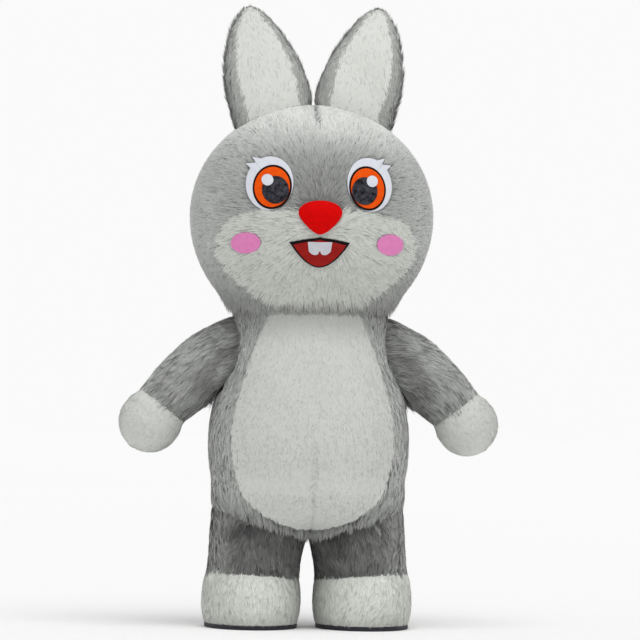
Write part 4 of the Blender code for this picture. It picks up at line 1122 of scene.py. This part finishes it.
# Panel: plush, share of blades, brushing, what trims it, tone with painted light and shade, whether it is
# tucked in, sewn to.
PANEL_WORK = {
    "muzzle": (CHIN_WHITE, 1.3, from_mouth, face_clear, muzzle_tone_and_painted_shade, False, "head_front_{}"),
    "head_front": (COMBED, 1.3, over_crown, face_clear, head_painted_light_and_shade, False, "head_back_{}"),
    "head_back": (COMBED, 0.75, from_nose, None, head_painted_light_and_shade, False, "head_front_{}"),
    "ear_{}_back": (EAR_LONG, 1.3, up_and_over, None, ear_tone, False, "head_back_{}"),
    "ear_{}_inner": (EAR_SHORT, 1.4, with_rows, None, ear_inner_tone, False, "ear_{}_back"),
    "belly": (SHORT, 1.4, downward, None, belly_painted_shade, False, "torso_front_{}"),
    "torso_front": (TRUNK, 1.3, downward, None, torso_painted_light_and_shade, False, "torso_back_{}"),
    "torso_back": (TRUNK, 0.7, downward, over_zip, torso_painted_light_and_shade, False, "torso_front_{}"),
    "sleeve_{}_front": (SLEEVE_LONG, 1.2, with_rows, None, sleeve_painted_light_and_shade, True, "torso_front_{}"),
    "sleeve_{}_back": (SLEEVE_LONG, 0.8, with_rows, None, sleeve_painted_light_and_shade, True, "torso_back_{}"),
    "mitt_{}_front": (SHORT, 1.3, with_rows, None, mitt_tone, False, "sleeve_{}_front"),
    "mitt_{}_back": (SHORT, 0.9, with_rows, None, mitt_tone, False, "sleeve_{}_back"),
    "leg_{}_front": (LEG_LONG, 1.2, in_waves, None, leg_tone_and_painted_shade, True, "torso_front_{}"),
    "leg_{}_back": (LEG_LONG, 0.75, in_waves, None, leg_tone_and_painted_shade, True, "torso_back_{}"),
    "foot_{}_vamp": (FOOT_WHITE, 1.6, from_instep, over_sole, foot_tone, False, "leg_{}_front"),
    "foot_{}_heel": (FOOT_WHITE, 0.8, with_rows, over_sole, foot_tone, False, "leg_{}_back"),
}
blade_count = 0
for key, (kind, share, comb, trim, tone, tucked, sewn_to) in PANEL_WORK.items():
    face, normals = panels[key]
    middle_piece = key in ("muzzle", "belly")
    for side, flip in BOTH_SIDES[:1] if middle_piece else BOTH_SIDES:
        node = key if middle_piece else key.format(side) if "{}" in key else key + "_" + side
        cloth = shell(node + "_backing", face * flip, normals * flip, kind, tucked)
        fibres = pile(node + "_pile", face * flip, normals * flip, kind, comb, trim, tone, share)
        blade_count += len(fibres.data.vertices) // 5
        hand_over(cloth, node)
        hand_over(fibres)
print("blades", blade_count, "triangles", 3 * blade_count)

# %% [markdown]
# ## The face pieces
# Eyes, cheeks, mouth and teeth are appliqué: flat pieces cut from smooth coated cloth and felt,
# stacked and sewn onto the panels. Each is a patch drawn from its middle to its outline, laid on
# the head's curve, with its edge turned down into the pile. Iris and mouth have a black edge.

# %% Cloth finishes of the face


def cloth_finish(name, colour, dark, thread_mm, roughness, sheen, mottle=0.5):
    """Smooth cloth or felt: thread_mm is the spacing drawn, as fine as the picture can show."""
    finish, tree, shader = new_finish(name, Roughness=roughness, Sheen_Weight=sheen, Specular_IOR_Level=0.06)
    place = add(tree, "ShaderNodeTexCoord").outputs["Object"]
    threads = add(tree, "ShaderNodeTexNoise", Vector=place, Scale=500.0 / thread_mm).outputs[0]
    clouds = add(tree, "ShaderNodeTexNoise", Vector=place, Scale=45.0, Detail=3.0).outputs[0]
    both = add(tree, "ShaderNodeMix", {"data_type": "FLOAT"}, i0=mottle, i2=threads, i3=clouds).outputs[0]
    dye = add(tree, "ShaderNodeValToRGB", stops=[(0.35, dark), (0.65, colour)], i0=both)
    relief = add(tree, "ShaderNodeBump", Strength=0.25, Distance=0.0006, Height=threads)
    wire(tree, shader, Base_Color=dye.outputs[0], Normal=relief.outputs[0])
    return finish


# Coated satin looks smooth and even, brushed satin mottled where its nap lies two ways, felt dull
# and velvet deep in colour. None of them has more than a faint gloss.
EYE_CLOTH = cloth_finish("white_coated_satin", "DCDFE6", "D2D5DE", 2.0, 0.6, 0.0)
IRIS_CLOTH = cloth_finish("orange_coated_satin", "F05C0C", "E24A06", 2.0, 0.6, 0.0)
IRIS_EDGE = cloth_finish("black_satin_stitch", "2A1512", "1A0C0A", 2.0, 0.7, 0.0)
PUPIL_CLOTH = cloth_finish("black_brushed_satin", "484850", "08080C", 6.0, 0.55, 0.0, 0.6)
CHEEK_FELT = cloth_finish("pink_felt", "E58CC2", "DB80B6", 3.0, 0.9, 0.05)
MOUTH_EDGE_FELT = cloth_finish("black_felt", "1E1416", "120C0E", 3.0, 0.9, 0.1)
MOUTH_FELT = cloth_finish("dark_red_felt", "A0201C", "8A1614", 3.0, 0.85, 0.1)
TOOTH_CLOTH = cloth_finish("pale_gray_satin", "CFD0D6", "C2C3CA", 2.0, 0.6, 0.05)
NOSE_VELVET = cloth_finish("red_velvet", "E00202", "C80202", 2.0, 0.75, 0.0)

# %% Patches
LIFT, PATCH, RINGS = 0.0003, 0.002, 14  # gap under a piece, its thickness, rings across it


def ring_faces(rings, count, first=0):
    """Faces between rings of this many points each, the first point having this number."""
    here = np.arange(count)
    pairs = list(zip(here, np.roll(here, -1)))
    return [
        (low + a, low + count + a, low + count + b, low + b)
        for low in range(first, first + (rings - 1) * count, count) for a, b in pairs
    ]


def domed_faces(rings, count):
    """Faces of rings round one point in the middle, which comes first."""
    return [(0, 1 + k, 1 + (k + 1) % count) for k in range(count)] + ring_faces(rings, count, 1)


def on_head(flat, height):
    base = head_point(head_params(flat[..., 0], flat[..., 1]))
    return base + head_normal(base) * np.asarray(height)[..., None]


def laid_ring(outline, middle, share, height):
    """The outline drawn in towards its middle, laid this high over the head."""
    return on_head(middle + (outline - middle) * share, np.full(len(outline), height))


def laid_size(outline, middle):
    """Width, height and area of a cut piece, measured over the head's curve."""
    low, high = outline.min(0), outline.max(0)
    t = np.linspace(0, 1, 33)
    sides = []
    for axis in (0, 1):
        line = np.tile(middle, (len(t), 1))
        line[:, axis] = low[axis] + (high[axis] - low[axis]) * t
        sides.append(float(runs(on_head(line, 0 * t)).sum()))
    rings = np.stack([laid_ring(outline, middle, s, 0.0) for s in t])
    return sides, float(cell_areas(np.concatenate([rings, rings[:, :1]], 1)).sum())


def patch(name, outline, level, finishes, border=0.0):
    """A piece laid on the head: rings from its middle out, the last ones turned down."""
    middle = (outline.max(0) + outline.min(0)) / 2
    shares = np.concatenate([np.linspace(0.12, 0.97, RINGS), [0.99, 1.0, 1.0]])
    if border:
        shares = np.sort(np.append(shares, 1 - border))
    top = LIFT + level * (PATCH + LIFT) + PATCH
    drop = np.zeros(len(shares))
    drop[-3:] = 0.0003, 0.0010, PATCH + 0.0012 if level == 0 else PATCH
    rings = [laid_ring(outline, middle, s, top - d) for s, d in zip(shares, drop)]
    points = np.concatenate([on_head(middle[None], np.array([top])), *rings])
    count = len(outline)
    made = mesh_piece(name, points, domed_faces(len(shares), count), finishes)
    if border:
        edge = np.append(0.0, shares[:-1]) > 1 - border - 1e-6
        made.data.polygons.foreach_set("material_index", np.repeat(edge, count).astype(int).tolist())
    return made, *laid_size(outline, middle)


mirror = np.array([-1.0, 1.0])
FACE_PIECES = [
    ("eye_white_{}", eye_outline(), 0, [EYE_CLOTH], 0.0, "eye_white_cloth", "head_front_{}"),
    ("iris_{}", oval(IRIS, 96, EYE_TILT), 1, [IRIS_CLOTH, IRIS_EDGE], 0.10, "iris_orange_cloth",
     "eye_white_{}"),
    ("pupil_{}", oval(PUPIL), 2, [PUPIL_CLOTH], 0.0, "pupil_black_cloth", "iris_{}"),
    ("eye_highlight_{}", oval(HIGHLIGHT, 48), 3, [EYE_CLOTH], 0.0, "eye_white_cloth", "pupil_{}"),
    ("cheek_{}", oval(CHEEK), 0, [CHEEK_FELT], 0.0, "cheek_pink_cloth", "muzzle"),
    ("mouth_edge", mouth_outline(0.0), 0, [MOUTH_EDGE_FELT], 0.0, "mouth_edge_black_cloth", "muzzle"),
    ("mouth", mouth_outline(MOUTH_BORDER), 1, [MOUTH_FELT], 0.0, "mouth_red_cloth", "mouth_edge"),
    ("teeth", teeth_outline(), 2, [TOOTH_CLOTH], 0.0, "teeth_white_cloth", "mouth"),
]
for key, outline, level, finishes, border, slot, below in FACE_PIECES:
    for side in ("left", "right") if "{}" in key else ("",):
        node = key.format(side)
        shape = outline[::-1] * mirror if side == "right" else outline
        made, (wide, high), area = patch(node + "_cloth", shape, level, finishes, border)
        hand_over(made, node)
    print(key, "cut", round(wide, 3), "x", round(high, 3), "area", round(area, 4))

# %% Nose
NOSE_RISE = 0.030
nose_line = nose_outline()
nose_middle = np.array([0.0, NOSE_MIDDLE_Z])
nose_shares = np.sin(np.linspace(0.06, 1, 16) * np.pi / 2)
nose_rise = NOSE_RISE * (1 - nose_shares**2.6) ** 0.62 + 2 * LIFT
levels = [*zip(nose_shares, nose_rise), (0.995, LIFT), (0.5, LIFT)]
heart = nose_middle[None]
points = [on_head(heart, np.array([NOSE_RISE]))]
points += [laid_ring(nose_line, nose_middle, share, height) for share, height in levels]
points = np.concatenate(points + [on_head(heart, np.array([LIFT]))])
count = len(nose_line)
last = 1 + (len(levels) - 1) * count
faces = domed_faces(len(levels), count)
faces += [(last + k, len(points) - 1, last + (k + 1) % count) for k in range(count)]
nose = mesh_piece("nose_velvet", points, faces, NOSE_VELVET)
hand_over(nose, "nose")
print("nose padded", len(faces), "faces")

# %% [markdown]
# ## Soles
# The soles are 20 mm sheets of black EVA foam, cut to the foot's outline and glued under it: a
# matte skin with a fine grain, and edges rounded by the cutting.

# %% Sole pieces
sole_finish, tree, shader = new_finish("black_eva_foam", Roughness=0.62)
place = add(tree, "ShaderNodeTexCoord").outputs["Object"]
scuffs = add(tree, "ShaderNodeTexNoise", Vector=place, Scale=14.0, Detail=4.0).outputs[0]
skin = add(tree, "ShaderNodeValToRGB", stops=[(0.3, "14121C"), (0.75, "221F2C")], i0=scuffs)
grain = add(tree, "ShaderNodeTexNoise", Vector=place, Scale=260.0, Detail=3.0).outputs[0]
relief = add(tree, "ShaderNodeBump", Strength=0.35, Distance=0.0008, Height=grain)
wire(tree, shader, Base_Color=skin.outputs[0], Normal=relief.outputs[0])
SOLE_THICK = 0.020
rim = legs[-1] * np.array([1.0, 1.0, 0.0])
inward = unit(rim - rim.mean(0))
# Share of the height and step in from the rim, from the top down to the floor.
SOLE_SECTION = [
    (1.0, 0.012), (1.0, 0.002), (0.93, 0.0), (0.52, -0.001), (0.46, 0.0006), (0.40, -0.001),
    (0.08, 0.0005), (0.0, 0.003), (0.0, 0.014),
]
count = len(rim)
last = (len(SOLE_SECTION) - 1) * count
faces = [tuple(range(count)), tuple(range(last + count - 1, last - 1, -1))]
faces += ring_faces(len(SOLE_SECTION), count)
levels = np.concatenate([rim - inward * in_by + SOLE_THICK * up * Z for up, in_by in SOLE_SECTION])
for side, flip in BOTH_SIDES:
    sole = mesh_piece("sole_" + side + "_foam", levels * flip, faces, sole_finish)
    hand_over(sole, "sole_" + side)
print("soles", SOLE_THICK * 1000, "mm thick")

# %% [markdown]
# ## The back zip
# The costume is stepped into through a long coil zip in the middle of the back: a woven tape on
# each side, a row of nylon coil teeth where they meet, and a die-cast slider at the top.

# %% Zip tape and teeth
ZIP_HALF, ZIP_SINK, TAPE_THICK, TAPE_ROWS = 0.0076, 0.004, 0.0012, 60
TOOTH_PITCH, TOOTH_LONG = 0.003, 0.0018
tape_finish = cloth_finish("gray_woven_zip_tape", "858688", "6C6D6F", 3.0, 0.8, 0.1)
# Drawn nylon is smooth, with a small gloss and hardly any pattern.
coil_finish, tree, shader = new_finish("gray_nylon_coil", Roughness=0.35)
place = add(tree, "ShaderNodeTexCoord").outputs["Object"]
wear = add(tree, "ShaderNodeTexNoise", Vector=place, Scale=60.0).outputs[0]
nylon = add(tree, "ShaderNodeValToRGB", stops=[(0.3, "5E5F61"), (0.7, "7A7B7D")], i0=wear)
wire(tree, shader, Base_Color=nylon.outputs[0])


def back_line(levels, sink):
    """Points down the middle of the back with the ways out and up."""
    params = np.stack([np.full(len(levels), 180.0), levels], -1)
    spine = torso_point(params)
    up = unit(np.gradient(spine, axis=0))
    out = np.stack([np.zeros(len(levels)), up[:, 2], -up[:, 1]], -1)
    return spine - out * sink, out, up


spine, out, up = back_line(np.linspace(ZIP_LOW + 0.004, ZIP_HIGH - 0.004, TAPE_ROWS), ZIP_SINK)
across = np.array([-ZIP_HALF, -0.003, 0.003, ZIP_HALF])
tape_top = spine[:, None] + across[None, :, None] * X
points = np.concatenate([tape_top.reshape(-1, 3), (tape_top - out[:, None] * TAPE_THICK).reshape(-1, 3)])
tape = mesh_piece("zip_tape", points, closed_sheet(TAPE_ROWS, len(across)), tape_finish)
tooth_levels = np.arange(ZIP_LOW + 0.006, ZIP_HIGH - 0.006, TOOTH_PITCH)
tooth_at, tooth_out, tooth_up = back_line(tooth_levels, ZIP_SINK)
# A tooth's outline, across and out: a rounded bar that hooks over the middle line.
TOOTH_RING = [
    (-0.0036, 0.0), (-0.0030, 0.0010), (0.0006, 0.0012), (0.0014, 0.0005), (0.0014, 0.0), (-0.0036, -0.0004),
]
corners = len(TOOTH_RING)
points, faces = [], []
for index, (centre, o, u) in enumerate(zip(tooth_at, tooth_out, tooth_up)):
    way = 1.0 if index % 2 else -1.0
    for end in (-TOOTH_LONG / 2, TOOTH_LONG / 2):
        for x, height in TOOTH_RING:
            points.append(centre + way * x * X + o * (height + TAPE_THICK) + u * end)
    low = 2 * corners * index
    high = low + corners
    faces += [tuple(range(low, high)), tuple(range(high + corners - 1, high - 1, -1))]
    around = [(k, (k + 1) % corners) for k in range(corners)]
    faces += [(low + k, low + n, high + n, high + k) for k, n in around]
coil = mesh_piece("zip_coil", np.array(points), faces, coil_finish, flat=True)
hand_over(tape, "zip")
hand_over(coil)

# %% Zip slider
# Die-cast zinc, plated: a metal whose gloss is uneven where hands have rubbed it.
slider_finish, tree, shader = new_finish("zinc_die_cast_plated", Metallic=1.0)
place = add(tree, "ShaderNodeTexCoord").outputs["Object"]
handling = add(tree, "ShaderNodeTexNoise", Vector=place, Scale=300.0, Detail=3.0).outputs[0]
rough = add(tree, "ShaderNodeMapRange", i0=handling, i1=0.3, i2=0.7, i3=0.28, i4=0.45)
metal = add(tree, "ShaderNodeValToRGB", stops=[(0.3, "96989A"), (0.7, "A8AAAC")], i0=handling)
wire(tree, shader, Roughness=rough.outputs[0], Base_Color=metal.outputs[0])
slider_low, slider_high = (np.array(corner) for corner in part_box("zip_slider"))
slider_middle = (slider_low + slider_high) / 2 - MIDDLE_Y * Y
_, slide_outs, slide_ups = back_line(ZIP_HIGH - np.array([0.03, 0.02, 0.01]), 0.0)
slide_out, slide_up = slide_outs[1], slide_ups[1]


def plate(outline, base, thick, hole=None):
    """A plate in the slider's plane: points (across, up) from its middle, with an optional hole."""
    count = len(outline)
    rings = [(outline, base), (outline, base + thick)]
    if hole is not None:
        rings += [(hole, base + thick), (hole, base)]
    points = [
        slider_middle + x * X + slide_up * u + slide_out * level
        for line, level in rings for x, u in line
    ]
    faces = []
    for r in range(len(rings) if hole is not None else 1):
        low, high = r * count, (r + 1) % len(rings) * count
        faces += [(low + k, low + (k + 1) % count, high + (k + 1) % count, high + k) for k in range(count)]
    if hole is None:
        faces += [tuple(range(count)), tuple(range(2 * count - 1, count - 1, -1))]
    return points, faces


def rounded(half_x, half_u, middle_u, power=4.0, count=28):
    """A plate's outline with round corners; a higher power makes them tighter."""
    angle = np.linspace(0, 2 * np.pi, count, endpoint=False)
    c, s = np.cos(angle), np.sin(angle)
    x = half_x * np.sign(c) * np.abs(c) ** (2 / power)
    return np.stack([x, middle_u + half_u * np.sign(s) * np.abs(s) ** (2 / power)], -1)


# Lower and upper wing, the post between them, and the pull with its eye.
parts = [
    plate(rounded(0.0058, 0.0095, 0.0), -0.0042, 0.0016),
    plate(rounded(0.0058, 0.0095, 0.0), -0.0004, 0.0016),
    plate(rounded(0.0020, 0.0070, 0.0, 6.0), -0.0030, 0.0062),
    plate(rounded(0.0042, 0.0095, -0.0100), 0.0026, 0.0012, rounded(0.0020, 0.0035, -0.0045)),
]
points, faces = [], []
for part_points, part_faces in parts:
    faces += [tuple(i + len(points) for i in f) for f in part_faces]
    points += part_points
slider = mesh_piece("zip_slider_cast", np.array(points), faces, slider_finish, flat=True)
bevel = slider.modifiers.new("cast_edges", "BEVEL")
bevel.width, bevel.segments = 0.0004, 2
hand_over(slider, "zip_slider")
print("slider at", np.round(slider_middle, 3))

# %% [markdown]
# ## Size
# The plush may stand a little proud of the imported box, as cloth does, but the size stays the same.

look_low, look_high = (list(corner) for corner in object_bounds())
grown = [round(1000 * max(a - b, d - c), 1) for a, b, c, d in zip(cad_low, look_low, cad_high, look_high)]
print("stands proud by", grown, "mm; size", [round(d - c, 3) for c, d in zip(look_low, look_high)])
